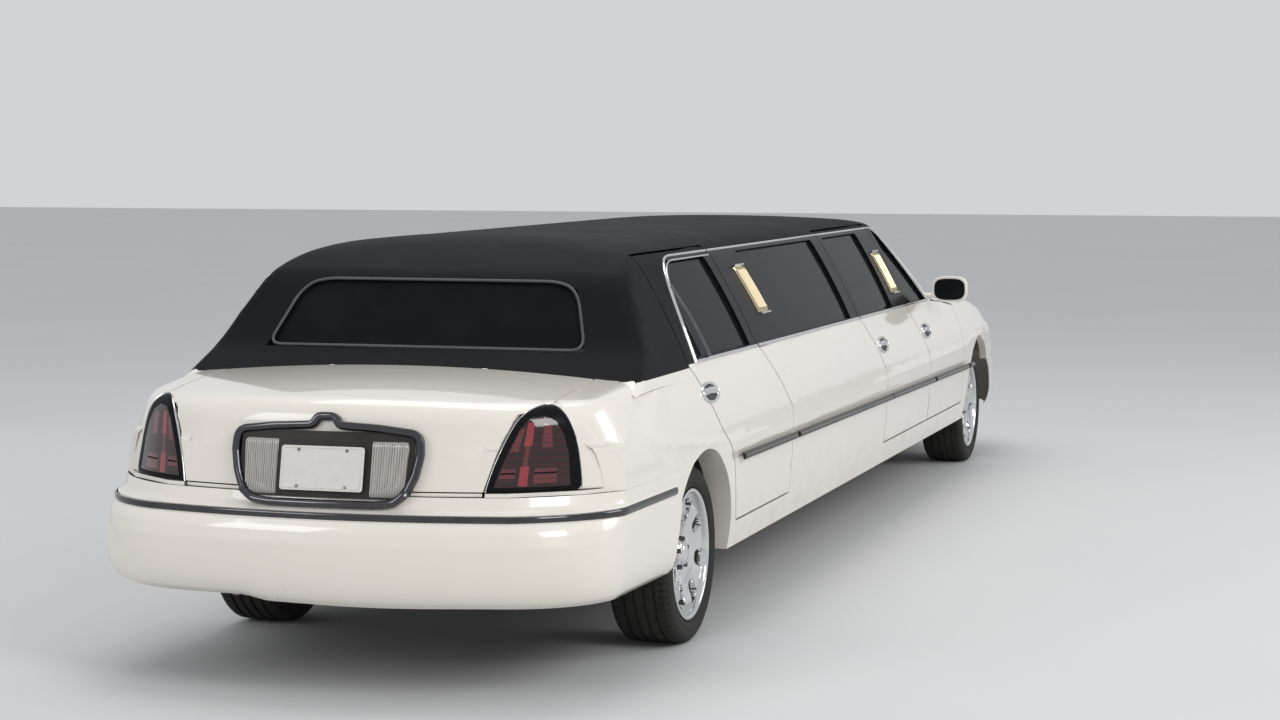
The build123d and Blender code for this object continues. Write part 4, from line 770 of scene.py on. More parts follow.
class LIMO_OT_panels(bpy.types.Operator):
    """Body panels on the smooth skin"""

    bl_idname = "limousine.panels"
    bl_label = "Body panels"

    def execute(self, context):
        # Painted panels: node, length of a step in metres, widths of the cuts
        panels = [
            ("quarter_panels", 0.05, CORNERS),
            ("front_fenders", 0.05, CORNERS),
            ("stretch_panels", 0.09, ()),
            ("sills", 0.09, ()),
            ("trunk_lid", 0.05, ACROSS),
            ("hood", 0.09, ACROSS),
            ("nose_panel", 0.05, ACROSS),
            ("fuel_door", 0.04, ()),
        ]
        for node, step, widths in panels:
            refined(node, "paint", step=step, heights=SHOULDER, widths=widths)
        windowed = {"outline": DAYLIGHT, "heights": SHOULDER + CABIN}
        for node in [node for node in NODES if node.endswith("_door") and node != "fuel_door"]:
            refined(node, "paint", "black", "vinyl", pick=door_finish, **windowed)
        refined("roof", "vinyl", "black", "paint", "plastic", pick=roof_finish, widths=ACROSS, **windowed)
        return {"FINISHED"}


# Bumpers: half outlines (middle, quarter, corner, side, arch) at the top, widest and lowest levels
REAR_OUTLINES = [
    [(-1336, 0), (-1248, 632), (-1093, 842), (-937, 953), (-415, 976)],
    [(-1434, 0), (-1345, 690), (-1195, 893), (-1000, 969), (-415, 984)],
    [(-1384, 0), (-1300, 640), (-1150, 850), (-985, 925), (-415, 945)],
]
FRONT_OUTLINES = [
    [(958, 0), (866, 640), (716, 850), (560, 948), (430, 962)],
    [(1045, 0), (950, 660), (830, 860), (620, 955), (430, 975)],
    [(990, 0), (900, 620), (800, 815), (610, 905), (430, 935)],
]
# Height, share of the widest outline, share of the lowest one
REAR_LEVELS = [(330, 1, 1), (350, 1, 0.5), (395, 1, 0.15), (470, 1, 0), (540, 0.97, 0), (590, 0.85, 0)]
REAR_LEVELS += [(618, 0.7, 0), (646, 0.5, 0), (656, 0.16, 0), (700, 0, 0)]
FRONT_LEVELS = [(300, 1, 1), (330, 1, 0.5), (380, 1, 0.1), (440, 1, 0), (520, 1, 0), (560, 0.8, 0)]
FRONT_LEVELS += [(590, 0.4, 0), (610, 0, 0)]
# Heights above the lower edge at which its roll is followed
ROLL = (0, 3, 8, 15, 25, 40, 60, 90, 130, 170)
# Wheel arch at a bumper's end: radius, least distance from the axle, direction from the axle
REAR_ARCH = (404, 344, -1)
FRONT_ARCH = (419, 334, 1)
# The bright strip's groove in the rear bumper
STRIP_LOW, STRIP_HIGH = 618, 646
STRIP_MIDDLE = (STRIP_LOW + STRIP_HIGH) / 2
GROOVE_DEPTH = 4.0
SKIN_WALL = 0.005


def arc(a, b, c, count):
    """Points on the circle from a through b to c."""
    z1, z2, z3 = complex(*a), complex(*b), complex(*c)
    w = (z3 - z1) / (z2 - z1)
    centre = (z2 - z1) * (w - abs(w) ** 2) / (2j * w.imag) + z1
    angles = np.unwrap([np.angle(z - centre) for z in (z1, z2, z3)])
    turn = np.linspace(angles[0], angles[2], count)
    radius = abs(z1 - centre)
    return np.stack([centre.real + radius * np.cos(turn), centre.imag + radius * np.sin(turn)], 1)


def bumper_ring(outlines, station, share, tuck, end):
    """The whole outline of a bumper at one level, from its left arch to its right one."""
    top, wide, low = np.array(outlines, float) + (station, 0)
    m, q, c, s, e = top + (wide - top) * share + (low - wide) * tuck
    e[0] = end
    half = np.vstack([arc(q * (1, -1), m, q, 41)[20:-1], arc(q, c, s, 15)[:-1], np.linspace(s, e, 15)])
    return np.vstack([half[:0:-1], half * (1, -1)])


def bumper_surface(outlines, levels, arch, station, groove, lift):
    """A bumper skin as a sheet, with a groove for its strip and its own lower edge."""
    rows = np.array(levels, float)
    z = [rows[0, 0] + rise for rise in ROLL]
    upper = np.arange(z[-1] + 18, rows[-1, 0], 12)
    z += [v for v in upper if not (groove and abs(v - STRIP_MIDDLE) < 22)] + [rows[-1, 0]]
    if groove:
        z += [612, STRIP_LOW, STRIP_LOW + 1, STRIP_HIGH - 1, STRIP_HIGH, 650, 654]
    z = np.array(sorted(z))
    share, tuck = (np.interp(z, rows[:, 0], rows[:, k]) for k in (1, 2))
    if not groove:
        share = np.clip(between(z, rows[:, 0], rows[:, 1]), 0, 1)
    radius, least, sign = arch
    ends = station + sign * np.maximum(np.sqrt(radius**2 - (z - AXLE_Z) ** 2), least)
    rings = np.array([bumper_ring(outlines, station, *level) for level in zip(share, tuck, ends)])
    depth = np.where(groove & (z > STRIP_LOW + 0.5) & (z < STRIP_HIGH - 0.5), GROOVE_DEPTH, 0.0)
    last = rings.shape[1] - 1

    def place(i, j):
        ahead = rings[i, np.minimum(j + 1, last)] - rings[i, np.maximum(j - 1, 0)]
        ahead /= np.linalg.norm(ahead, axis=1, keepdims=True)
        inward = np.stack([ahead[:, 1], -ahead[:, 0]], 1) * sign
        plan = rings[i, j] + inward * depth[i][:, None]
        height = z[i] + lift(plan[:, 1]) * np.clip(1 - (z[i] - z[0]) / 120, 0, 1)
        return from_stations(np.column_stack([plan, height]))

    return grid(len(z) - 1, last, place)


def rear_lift(y):
    """The lower edge of the rear bumper is a little higher on the left and slightly wavy."""
    step = np.clip((y - 170) / 130, 0, 1)
    return 17 * step * step * (3 - 2 * step) + 2.5 * np.sin(y / 130)


class LIMO_OT_bumpers(bpy.types.Operator):
    """Both bumpers, with the bright strip round the rear one"""

    bl_idname = "limousine.bumpers"
    bl_label = "Bumpers"

    def execute(self, context):
        rear = bumper_surface(REAR_OUTLINES, REAR_LEVELS, REAR_ARCH, 0, True, rear_lift)
        front = bumper_surface(FRONT_OUTLINES, FRONT_LEVELS, FRONT_ARCH, FRONT_AXLE, False, np.zeros_like)
        for name, bm, outward in (("rear_bumper", rear, -1), ("front_bumper", front, 1)):
            bmesh.ops.recalc_face_normals(bm, faces=bm.faces)
            middle = min(bm.faces, key=self.off_middle)
            if middle.normal.x * outward < 0:
                bmesh.ops.reverse_faces(bm, faces=bm.faces)
            bmesh.ops.solidify(bm, geom=bm.faces[:], thickness=SKIN_WALL)
            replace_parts(add_piece(name + "_skin", bm, "body", "bumper", sharp=50), name)
        self.strip()
        return {"FINISHED"}

    def off_middle(self, face):
        """How far a face is from the middle of a bumper's front."""
        centre = face.calc_center_median()
        return abs(centre.y) + abs(centre.z - 0.47)

    def strip(self):
        """The bright strip in its groove, from arch to arch."""
        ring = bumper_ring(REAR_OUTLINES, 0, 0.6, 0, -350)
        ring = ring[ring[:, 0] < -375]
        p = np.column_stack([ring, np.full(len(ring), STRIP_MIDDLE)])
        ahead = np.gradient(p, axis=0)
        ups = np.stack([ahead[:, 1], -ahead[:, 0], np.zeros(len(p))], 1)
        ups *= np.sign(-ups[len(p) // 2, 0])
        ups /= np.linalg.norm(ups, axis=1, keepdims=True)
        profile = half_round(STRIP_HIGH - STRIP_LOW - 2, 4.5, 3)
        # The strip's chrome is darkened by a painted dark reflection
        add_piece("rear_bumper_strip", swept(p, ups, profile), "body", "chrome_painted_with_dark_reflection")


# Coach lamps: foot and top, as (station, height)
POST_LAMP = (1409, 1166), (1332, 1370)
DOOR_LAMP = (FRONT_AXLE - 1963, 1110), (FRONT_AXLE - 2033, 1327)
# Name, line, side and body of each, and the node that it replaces
COACH_LAMPS = [
    ("right_door", DOOR_LAMP, -1, "right_middle_door", "door_lamp"),
    ("right_post", POST_LAMP, -1, "body", "pillar_lamps"),
    ("left_rear", POST_LAMP, 1, "body", None),
    ("left_front", DOOR_LAMP, 1, "body", None),
]


class LIMO_OT_side_trim(bpy.types.Operator):
    """Bright beads, belt strips, mouldings, handles and pillar lamps along both sides"""

    bl_idname = "limousine.side_trim"
    bl_label = "Side trim"

    def execute(self, context):
        settings = context.scene.limousine
        for word, side in SIDES:
            rear, front = word + "_rear_door", word + "_front_door"
            self.beads(word, side, rear, front, settings.bead)
            self.belt(word, side, front)
            self.mouldings(word, side, half_round(settings.moulding * 1000, 11))
            self.handle(rear, 201, 935, side)
            self.handle(front, FRONT_AXLE - 1544, 885, side)
        self.handle("right_middle_door", FRONT_AXLE - 2686, 892, -1)
        for name, line, side, body, node in COACH_LAMPS:
            self.lamp(name, line, side, body, node)
        return {"FINISHED"}

    def beads(self, word, side, rear, front, width):
        """Beads round the side windows, split at the door seams, and the grey division of the rear one."""
        bead = half_round(width * 1000, 7)
        inner_bead = half_round(width * 700, 5)
        line = [BELT_REAR, *ARC, (1012, RAIL_Z)]
        flank_strip(rear + "_arc_bead", line, side, bead, "chrome", rear, ease=6)
        line = [(BELT_REAR[0] + 17, 1052), (206, 1192), (263, 1341), (320, 1402)]
        line += [(394, RAIL_Z - 17), (1012, RAIL_Z - 17)]
        flank_strip(rear + "_arc_inner", line, side, inner_bead, "chrome", rear, ease=6)
        division = [(262, 1336), (330, 1200), (372, 1060)]
        flank_strip(rear + "_division", division, side, half_round(9, 14), "grey", rear, ease=2)
        for number, (body, start, end) in enumerate(side_panels(side)[1:-1]):
            first, last = start + RAIL_LEAN + SEAM / 2, end + RAIL_LEAN - SEAM / 2
            path, ease = [(first, RAIL_Z), (last, RAIL_Z)], 0
            if body == front:
                path, ease = [path[0], *A_PILLAR, (BELT_FRONT[0] - 10, BELT_FRONT[1] + 10)], 2
            flank_strip(f"{word}_rail_bead_{number}", path, side, bead, "chrome", body, ease=ease)

    def belt(self, word, side, front):
        """Bright strips under the side windows."""
        for number, (body, start, end) in enumerate(side_panels(side)[:-1]):
            first = max(start + BELT_LEAN + SEAM, BELT_REAR[0] + 4)
            last = end + BELT_LEAN - SEAM if body != front else BELT_FRONT[0]
            path = [(x, line_height(x, BELT_REAR, BELT_FRONT) + 3) for x in (first, last)]
            flank_strip(f"{word}_belt_strip_{number}", path, side, half_round(17, 8), "chrome", body)

    def mouldings(self, word, side, profile):
        """Dark mouldings along the doors, each with a bright line."""
        bright = [(a, b + 10) for a, b in half_round(7, 3)]
        behind = "body"
        for number, (body, start, end) in enumerate(side_panels(side)):
            lead = SEAM if behind == "body" else MOULDING_ROOM
            room = SEAM / 2 if body == "body" else MOULDING_ROOM
            behind = body
            first, last = max(start + lead, MOULDING_REAR[0]), min(end - room, MOULDING_FRONT[0])
            z0, z1 = (line_height(x, MOULDING_REAR, MOULDING_FRONT) for x in (first, last))
            name = f"{word}_moulding_{number}"
            flank_strip(name, [(first, z0), (last, z1)], side, profile, "moulding", body)
            line = [(first + 6, z0), (last - 6, z1)]
            # The bright line's chrome is darkened by a painted dark reflection
            flank_strip(name + "_line", line, side, bright, "chrome_painted_with_dark_reflection", body)

    def handle(self, body, x, z, side):
        """A bright oval bezel round a dark dish, a pull bar and a key hole."""
        turn = np.linspace(0, math.tau, 41)[:-1]
        oval = [(x + 100 * math.cos(a), z + 35 * math.sin(a)) for a in turn]
        bezel = half_round(13, 10)
        flank_strip(body + "_handle_bezel", oval, side, bezel, "chrome", body, step=9, closed=True)

        def dish(i, j):
            a, share = i * math.tau / 40, j / 8
            guess = beside(x + 96 * share * np.cos(a), 940 * side, z + 31 * share * np.sin(a))
            return from_stations(onto(car_distance, guess, (0, side, 0), 1.5))

        add_piece(body + "_handle_dish", grid(40, 8, dish, True), body, "plastic")
        grip = [(x - 86, z + 4), (x - 40, z + 7), (x + 30, z + 7), (x + 62, z + 4)]
        flank_strip(body + "_handle_grip", grip, side, half_round(30, 15), "chrome", body, ease=2)
        lock, ups = on_flank([(x + 72, z - 2), (x + 84, z - 2)], side, step=6)
        turned = Vector(ups[0]).to_track_quat("Z", "Y").to_matrix().to_4x4()
        spot = Matrix.Translation(from_stations(lock[1:2])[0] + ups[1] * 0.004) @ turned
        size = {"segments": 20, "radius1": 0.010, "radius2": 0.008, "depth": 0.010}
        bm = bmesh.new()
        bmesh.ops.create_cone(bm, cap_ends=True, **size, matrix=spot)
        add_piece(body + "_handle_lock", bm, body, "chrome")

    def lamp(self, name, line, side, body, node):
        """A leaning coach lamp: a fluted cover between two end bars."""
        (x0, z0), (x1, z1) = line
        flutes, steps, half_width = 5, 10, 70
        rows, columns = flutes * steps, 16

        def cover(i, j):
            across, up = i / rows * 2 - 1, j / columns
            guess = beside(x0 + (x1 - x0) * up + across * half_width, 850 * side, z0 + (z1 - z0) * up)
            ridge = 4 + 10 * np.abs(np.sin(i * math.pi / steps))
            ridge = np.where(on_rim(i, j, rows, columns), -2, ridge)
            skin = onto(cabin_distance, guess, (0, side, 0))
            return from_stations(skin + slope_of(cabin_distance, skin) * ridge[:, None])

        piece = add_piece(name + "_lamp_cover", grid(rows, columns, cover), body, "gilt", sharp=60)
        if node:
            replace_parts(piece, node)
        for word, (x, z) in (("top", line[1]), ("foot", line[0])):
            bar = [(x - half_width - 4, z), (x + half_width + 4, z)]
            flank_strip(f"{name}_lamp_{word}", bar, side, half_round(14, 17), "chrome", body)


# Tail lamps as (side, height): outline, middle, lens, light pipe, red blocks, the band across them
TAIL_LAMP = [(557, 715), (566, 757), (580, 806), (597, 855), (616, 903), (641, 955), (668, 984), (702, 1000)]
TAIL_LAMP += [(735, 997), (764, 979), (788, 948), (806, 905), (819, 850), (828, 795), (834, 750), (836, 715)]
LAMP_MIDDLE = (700, 850)
LENS = [(585, 733), (604, 800), (630, 870), (656, 930), (684, 962)]
LENS += [(722, 968), (756, 948), (781, 900), (797, 840), (808, 733)]
PIPE_TOP = [(668, 868), (692, 868), (696, 946), (676, 946)]
PIPE_FOOT = [(658, 736), (686, 736), (688, 802), (662, 802)]
PIPE_STEM = [(668, 802), (682, 802), (686, 868), (674, 868)]
GLOWS = [
    [(596, 762), (648, 762), (648, 794), (606, 794)],
    [(702, 744), (770, 744), (768, 794), (704, 794)],
    [(628, 850), (652, 850), (668, 930), (652, 920)],
    [(722, 862), (752, 862), (744, 936), (722, 944)],
]
BAND = [(560, 776), (840, 776), (840, 782), (560, 782)]
# Body-coloured patch round each lamp
TAIL_FILL = [(572, 722), (590, 800), (612, 868), (640, 940), (668, 976), (702, 994), (728, 1012), (770, 990)]
TAIL_FILL += [(818, 948), (856, 900), (888, 838), (910, 775), (922, 715)]
# Plate surround: its half outline and the peak above it, its middle, and the lower edge of the lid
SURROUND = [(205, 661), (268, 669), (310, 704), (336, 765), (350, 840), (345, 895), (325, 912), (200, 930)]
SURROUND += [(50, 943), (36, 970)]
SURROUND_MIDDLE = (0, 800)
LID_EDGE_Z = 712
PLATE_Z = 789
PLATE_SIZE = (0.002, 0.305, 0.152)
REAR_WINDOW = [(-633, 1126), (-553, 1346), (-480, 1378), (480, 1378), (553, 1346), (633, 1126)]


def tail_finish(y, z, facing):
    """Number of the finish of a tail lamp's face: border, lens, bright blocks, light pipe."""
    if facing > -0.3 or not inside(LENS, y, z):
        return 0
    if inside(PIPE_TOP, y, z) or inside(PIPE_FOOT, y, z):
        return 3
    if inside(PIPE_STEM, y, z) or any(inside(glow, y, z) for glow in GLOWS):
        return 0 if inside(BAND, y, z) else 2
    return 1


def on_tail(points, offset=0.0):
    """Points given as (side, height) laid on the rear face."""
    q = np.array(points, float)
    guess = np.column_stack([np.full(len(q), -1250.0), q])
    return onto(body_distance, guess, (-1, 0, 0), offset)


def cushion(outline, rings):
    """A raised patch on both rear corners; a ring is a share of the outline and a height above the skin."""
    line = run(outline, step=8, ease=2, closed=True)
    rings = np.array(rings, float)
    whole = bmesh.new()
    mesh = bpy.data.meshes.new("cushion")
    for side in (-1, 1):

        def place(i, j):
            q = LAMP_MIDDLE + (line[i] - LAMP_MIDDLE) * rings[j, :1]
            skin = on_tail(q * (side, 1))
            return from_stations(skin + slope_of(body_distance, skin) * rings[j, 1:])

        part = grid(len(line), len(rings) - 1, place, True)
        part.to_mesh(mesh)
        part.free()
        whole.from_mesh(mesh)
    bpy.data.meshes.remove(mesh)
    return whole


class LIMO_OT_tail(bpy.types.Operator):
    """Tail lamps, plate surround, reversing lamps, number plate and rear window line"""

    bl_idname = "limousine.tail"
    bl_label = "Tail"

    def execute(self, context):
        self.lamps()
        lip = on_tail(run([(-546, 707), (546, 707)], step=30), -5)
        bm = swept(lip, slope_of(body_distance, lip), half_round(13, 3, 4))
        add_piece("tail_lip", bm, "body", "paint")
        self.surround()
        self.reversing_lamps()
        self.plate()
        line = run(REAR_WINDOW, step=25, ease=2, closed=True)
        guess = np.column_stack([WINDOW_BEND[0] + 4 + (line[:, 1] - WINDOW_BEND[1]) * 0.71, line])
        p = onto(cabin_distance, guess, (-0.8, 0, 0.6))
        bm = swept(p, slope_of(cabin_distance, p), half_round(12, 5), True)
        add_piece("rear_window_bead", bm, "body", "seal")
        return {"FINISHED"}

    def lamps(self):
        """Both tail lamps as one piece, their chrome outlines as a painted highlight on the body's edge round
        them, and the body colour round them.
        """
        rings = [*((share, 3) for share in np.linspace(0, 0.94, 16)), (0.98, 2), (1, -3)]
        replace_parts(add_piece("lamp_surrounds", cushion(TAIL_FILL, rings), "body", "paint"), "tail_lamps")
        rings = [(share, 8) for share in np.linspace(0, 0.92, 22)]
        rings += [(0.95, 7.6), (0.975, 6.2), (0.99, 4), (1, -2)]
        bm = cushion(TAIL_LAMP, rings)
        for outline in (LENS, PIPE_TOP, PIPE_STEM, PIPE_FOOT, BAND, *GLOWS):
            cut_along(bm, outline, 1, (-1, 1))
        lenses = add_piece("tail_lenses", bm, "body", "black", "red", "glow", "pipe")
        for face in lenses.data.polygons:
            _, y, z = np.array(face.center) * 1000
            face.material_index = tail_finish(abs(y), z, face.normal[0])
        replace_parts(lenses, "tail_lamps")
        # The chrome outline round each lamp is a painted highlight, standing in for the light caught on the
        # body's edge
        for word, side in SIDES:
            p = on_tail(run([(side * y, z) for y, z in TAIL_LAMP], step=8, ease=2))
            bm = swept(p, slope_of(body_distance, p), half_round(6, 7))
            add_piece(word + "_lamp_painted_highlight", bm, "body", "chrome")

    def surround(self):
        """The deep bright frame of the plate and its dark floor."""
        outline = np.array([(-y, z) for y, z in SURROUND] + SURROUND[::-1], float)
        inward = SURROUND_MIDDLE - outline
        inset = outline + inward / np.linalg.norm(inward, axis=1, keepdims=True) * 13
        line = run(inset, step=10, ease=1, closed=True)
        p = on_tail(line)
        low = line[:, 1] < LID_EDGE_Z
        edge = np.column_stack([line[low, 0], np.full(low.sum(), float(LID_EDGE_Z))])
        p[low, 0] = on_tail(edge)[:, 0] - 12
        section = [(-14, 2), (-14, 20), (-11, 28), (-5, 31), (4, 31), (10, 27), (14, 18), (14, 2)]
        bm = swept(p, slope_of(body_distance, p), section, True)
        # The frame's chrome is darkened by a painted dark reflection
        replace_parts(add_piece("surround_frame", bm, "trunk_lid", "chrome_painted_with_dark_reflection"), "plate_surround")

        def floor(i, j):
            y = (i / 40 * 2 - 1) * 318
            z = 690 + j / 12 * 222
            half = np.interp(z, (690, 730, 765, 840, 912), (285, 306, 320, 334, 326))
            return from_stations(on_tail(np.column_stack([np.clip(y, -half, half), z]), 12))

        bm = grid(40, 12, floor)
        bmesh.ops.solidify(bm, geom=bm.faces[:], thickness=0.003)
        add_piece("surround_floor", bm, "trunk_lid", "moulding")

    def reversing_lamps(self):
        """A fluted lens on each side of the plate, its lowest part reaching below the lid."""
        flutes, steps = 18, 6
        rows, columns = flutes * steps, 16
        for word, side in SIDES:

            def lens(i, j):
                z = 692 + j / columns * 190
                outer = np.interp(z, (692, 700, 730, 860, 878, 884), (258, 270, 292, 300, 297, 290))
                y = 172 + (outer - 172) * i / rows
                rise = 20 + 3.0 * np.abs(np.sin(i * math.pi / steps))
                rise = np.where(on_rim(i, j, rows, columns), 12, rise)
                skin = on_tail(np.column_stack([side * y, np.maximum(z, LID_EDGE_Z)]))
                skin[:, 0] -= np.maximum(LID_EDGE_Z - z, 0) * 0.25
                skin[:, 2] = z
                return from_stations(skin + slope_of(body_distance, skin) * rise[:, None])

            add_piece(word + "_reversing_lens", grid(rows, columns, lens), "trunk_lid", "clear", sharp=80)

    def plate(self):
        """A blank pressed plate with rounded corners, a raised border and four bolts."""
        centre = on_tail([(0, PLATE_Z)], 26)
        up = slope_of(body_distance, centre)[0]
        turned = Matrix.Rotation(math.atan2(up[2], -up[0]), 4, "Y")
        spot = Matrix.Translation(from_stations(centre)[0]) @ turned
        bm = bmesh.new()
        bmesh.ops.create_cube(bm, size=1, matrix=Matrix.Diagonal((*PLATE_SIZE, 1)))
        corners = [edge for edge in bm.edges if abs((edge.verts[0].co - edge.verts[1].co).x) > 0.001]
        bmesh.ops.bevel(bm, geom=corners, offset=0.011, affect="EDGES", segments=6, profile=0.5, material=-1)
        outer = [face for face in bm.faces if face.normal.x < -0.9]
        for thickness, depth in ((0.006, 0), (0.0015, 0.0018), (0.0015, -0.0018)):
            bmesh.ops.inset_region(bm, faces=outer, thickness=thickness, depth=depth)
        bmesh.ops.transform(bm, matrix=spot, verts=bm.verts)
        add_piece("number_plate", bm, "trunk_lid", "plate", sharp=20)
        bm = bmesh.new()
        bolt = {"segments": 14, "radius1": 0.0045, "radius2": 0.0055, "depth": 0.004}
        for y in (-0.089, 0.089):
            for z in (-0.062, 0.062):
                place = spot @ Matrix.Translation((-0.0025, y, z)) @ Matrix.Rotation(math.pi / 2, 4, "Y")
                bmesh.ops.create_cone(bm, cap_ends=True, **bolt, matrix=place)
        add_piece("plate_bolts", bm, "trunk_lid", "steel")


# Section of a wheel from the edge of its rim to its middle and back: radius, depth behind the face
WHEEL_FACE = [(249.5, 9), (249, 2), (246, 0), (240, 0), (235, 2), (231, 9), (228, 20), (222, 18.5)]
WHEEL_FACE += [(r, np.interp(r, (125, 160, 190, 217), (25, 17, 12.5, 18))) for r in range(217, 118, -4)]
WHEEL_FACE += [(112, 28), (98, 31), (84, 34), (70, 35.5), (60, 36), (52, 35.5), (46, 34), (43, 30), (39, 24)]
WHEEL_FACE += [(34, 22), (20, 20.5), (8, 20), (0, 20)]
WHEEL_BACK = [(0, 112), (60, 112), (64, 92), (224, 92), (228, 100), (232, 205), (249.5, 219)]
SPOKES = 7
SPOKE_STEPS = 32
# Slots between the spokes: inner and outer radius, half width at both, depth, and the width of their edge
SLOT_INNER, SLOT_OUTER = 125, 212
SLOT_HALF = (22, 42)
SLOT_DEPTH, SLOT_EDGE = 46, 7
NUT_CIRCLE, NUT_DEPTH, NUTS = 57, 33, 5
WHEELS = [("rear_right", 0, -1), ("rear_left", 0, 1)]
WHEELS += [("front_right", FRONT_AXLE, -1), ("front_left", FRONT_AXLE, 1)]
TRACK_HALF = 807
FACE_Y = 921.5
# Side wall of a tyre outward from the tread: distance from its middle plane, radius
TYRE_WALL = [(102, 333), (110, 327), (117, 318), (121, 308), (122.5, 298), (122, 290), (120.5, 289)]
TYRE_WALL += [(120.5, 286), (122, 285), (121, 274), (116, 264), (109, 256), (104, 252)]
# Half of the tread's corners outward from its middle, with grooves between 15 and 25 and between 55 and 65
TREAD = (0, 14.5, 15.5, 24.5, 25.5, 40, 54.5, 55.5, 64.5, 65.5, 72, 80, 88, 92, 96)


def slot_depth(r, angle):
    """How far inside a rounded slot a point of the wheel's face is, in millimetres."""
    pitch = math.tau / SPOKES
    off = np.abs((angle + pitch / 2) % pitch - pitch / 2) * r
    along = np.minimum(r - SLOT_INNER, SLOT_OUTER - r)
    across = np.interp(r, (SLOT_INNER, SLOT_OUTER), SLOT_HALF) - off
    return -softer(-along, -across, 22)


class LIMO_OT_wheels(bpy.types.Operator):
    """Bright wheels with seven spokes and treaded tyres"""

    bl_idname = "limousine.wheels"
    bl_label = "Wheels"

    def execute(self, context):
        for name, x, side in WHEELS:
            self.wheel(name, x, side)
            self.tyre(name, x, side, context.scene.limousine.tread_blocks)
        return {"FINISHED"}

    def wheel(self, name, x, side):
        """A wheel turned from its section, its slots pressed in with their floors in painted shade, and its
        nuts.
        """
        section = np.array(WHEEL_FACE + WHEEL_BACK, float)
        turns = SPOKES * SPOKE_STEPS
        body = BODY_OF[name + "_wheel"]

        def place(i, j):
            r, depth = section[j, 0], section[j, 1].copy()
            angle = i * math.tau / turns
            inner = np.clip(slot_depth(r, angle) / SLOT_EDGE, 0, 1)
            depth += np.where(j < len(WHEEL_FACE), SLOT_DEPTH * inner * inner * (3 - 2 * inner), 0)
            points = [x + r * np.sin(angle), side * (FACE_Y - depth), AXLE_Z + r * np.cos(angle)]
            return from_stations(np.column_stack(points))

        bm = grid(turns, len(section) - 1, place, True)
        bmesh.ops.bridge_loops(bm, edges=[edge for edge in bm.edges if edge.is_boundary])
        wheel = add_piece(name + "_wheel_face", bm, body, "chrome", "plastic", sharp=40)
        # Faces inside the slots take the dark plastic: painted shade standing in for the dark opening between
        # the spokes
        for poly in wheel.data.polygons:
            px, _, pz = to_stations([poly.center])[0]
            r, angle = math.hypot(px - x, pz - AXLE_Z), math.atan2(px - x, pz - AXLE_Z)
            poly.material_index = int(slot_depth(r, angle) > 2)
        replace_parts(wheel, name + "_wheel")
        bm = bmesh.new()
        nut = {"segments": 6, "radius1": 0.0095, "radius2": 0.0088, "depth": 0.012}
        for k in range(NUTS):
            a = k * math.tau / NUTS
            out, up = NUT_CIRCLE * math.sin(a), NUT_CIRCLE * math.cos(a)
            spot = row(x + out, side * (FACE_Y - NUT_DEPTH), AXLE_Z + up)
            turned = Matrix.Translation(spot) @ Matrix.Rotation(-side * math.pi / 2, 4, "X")
            bmesh.ops.create_cone(bm, cap_ends=True, **nut, matrix=turned)
        # The nuts' chrome is darkened by a painted dark reflection
        add_piece(name + "_wheel_nuts", bm, body, "chrome_painted_with_dark_reflection")

    def tyre(self, name, x, side, blocks):
        """A tyre turned from its section, with cuts in its shoulders and its ribs."""
        crown = []
        for y in [-y for y in TREAD[:0:-1]] + [*TREAD]:
            groove = 7 if 55 < abs(y) < 65 or 15 < abs(y) < 25 else 0
            crown.append((y, 338 - 2.5 * (y / 96) ** 2 - groove))
        section = np.array([(-y, r) for y, r in TYRE_WALL[::-1]] + crown + TYRE_WALL, float)
        steps = 5

        def place(i, j):
            y, r = section[j, 0], section[j, 1].copy()
            shoulder = (np.abs(y) > 68) & (np.abs(y) < 112)
            rib = (np.abs(y) < 55) & (np.abs(y) > 25)
            r -= np.where(shoulder & (i % steps == 0), 6, 0)
            r -= np.where(rib & ((i + 2) % (2 * steps) == 0), 4, 0)
            angle = (i + y * 0.012) * math.tau / (blocks * steps)
            points = [x + r * np.sin(angle), side * TRACK_HALF + y, AXLE_Z + r * np.cos(angle)]
            return from_stations(np.column_stack(points))

        bm = grid(blocks * steps, len(section) - 1, place, True)
        bmesh.ops.bridge_loops(bm, edges=[edge for edge in bm.edges if edge.is_boundary])
        tyre = add_piece(name + "_tread", bm, BODY_OF[name + "_tyre"], "rubber", sharp=30)
        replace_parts(tyre, name + "_tyre")


# Door mirrors: stations of their rear and front, and the place of their middle
MIRROR_REAR, MIRROR_FRONT = COWL_X - 185, COWL_X - 92
MIRROR_Y, MIRROR_Z = 1024, 1095


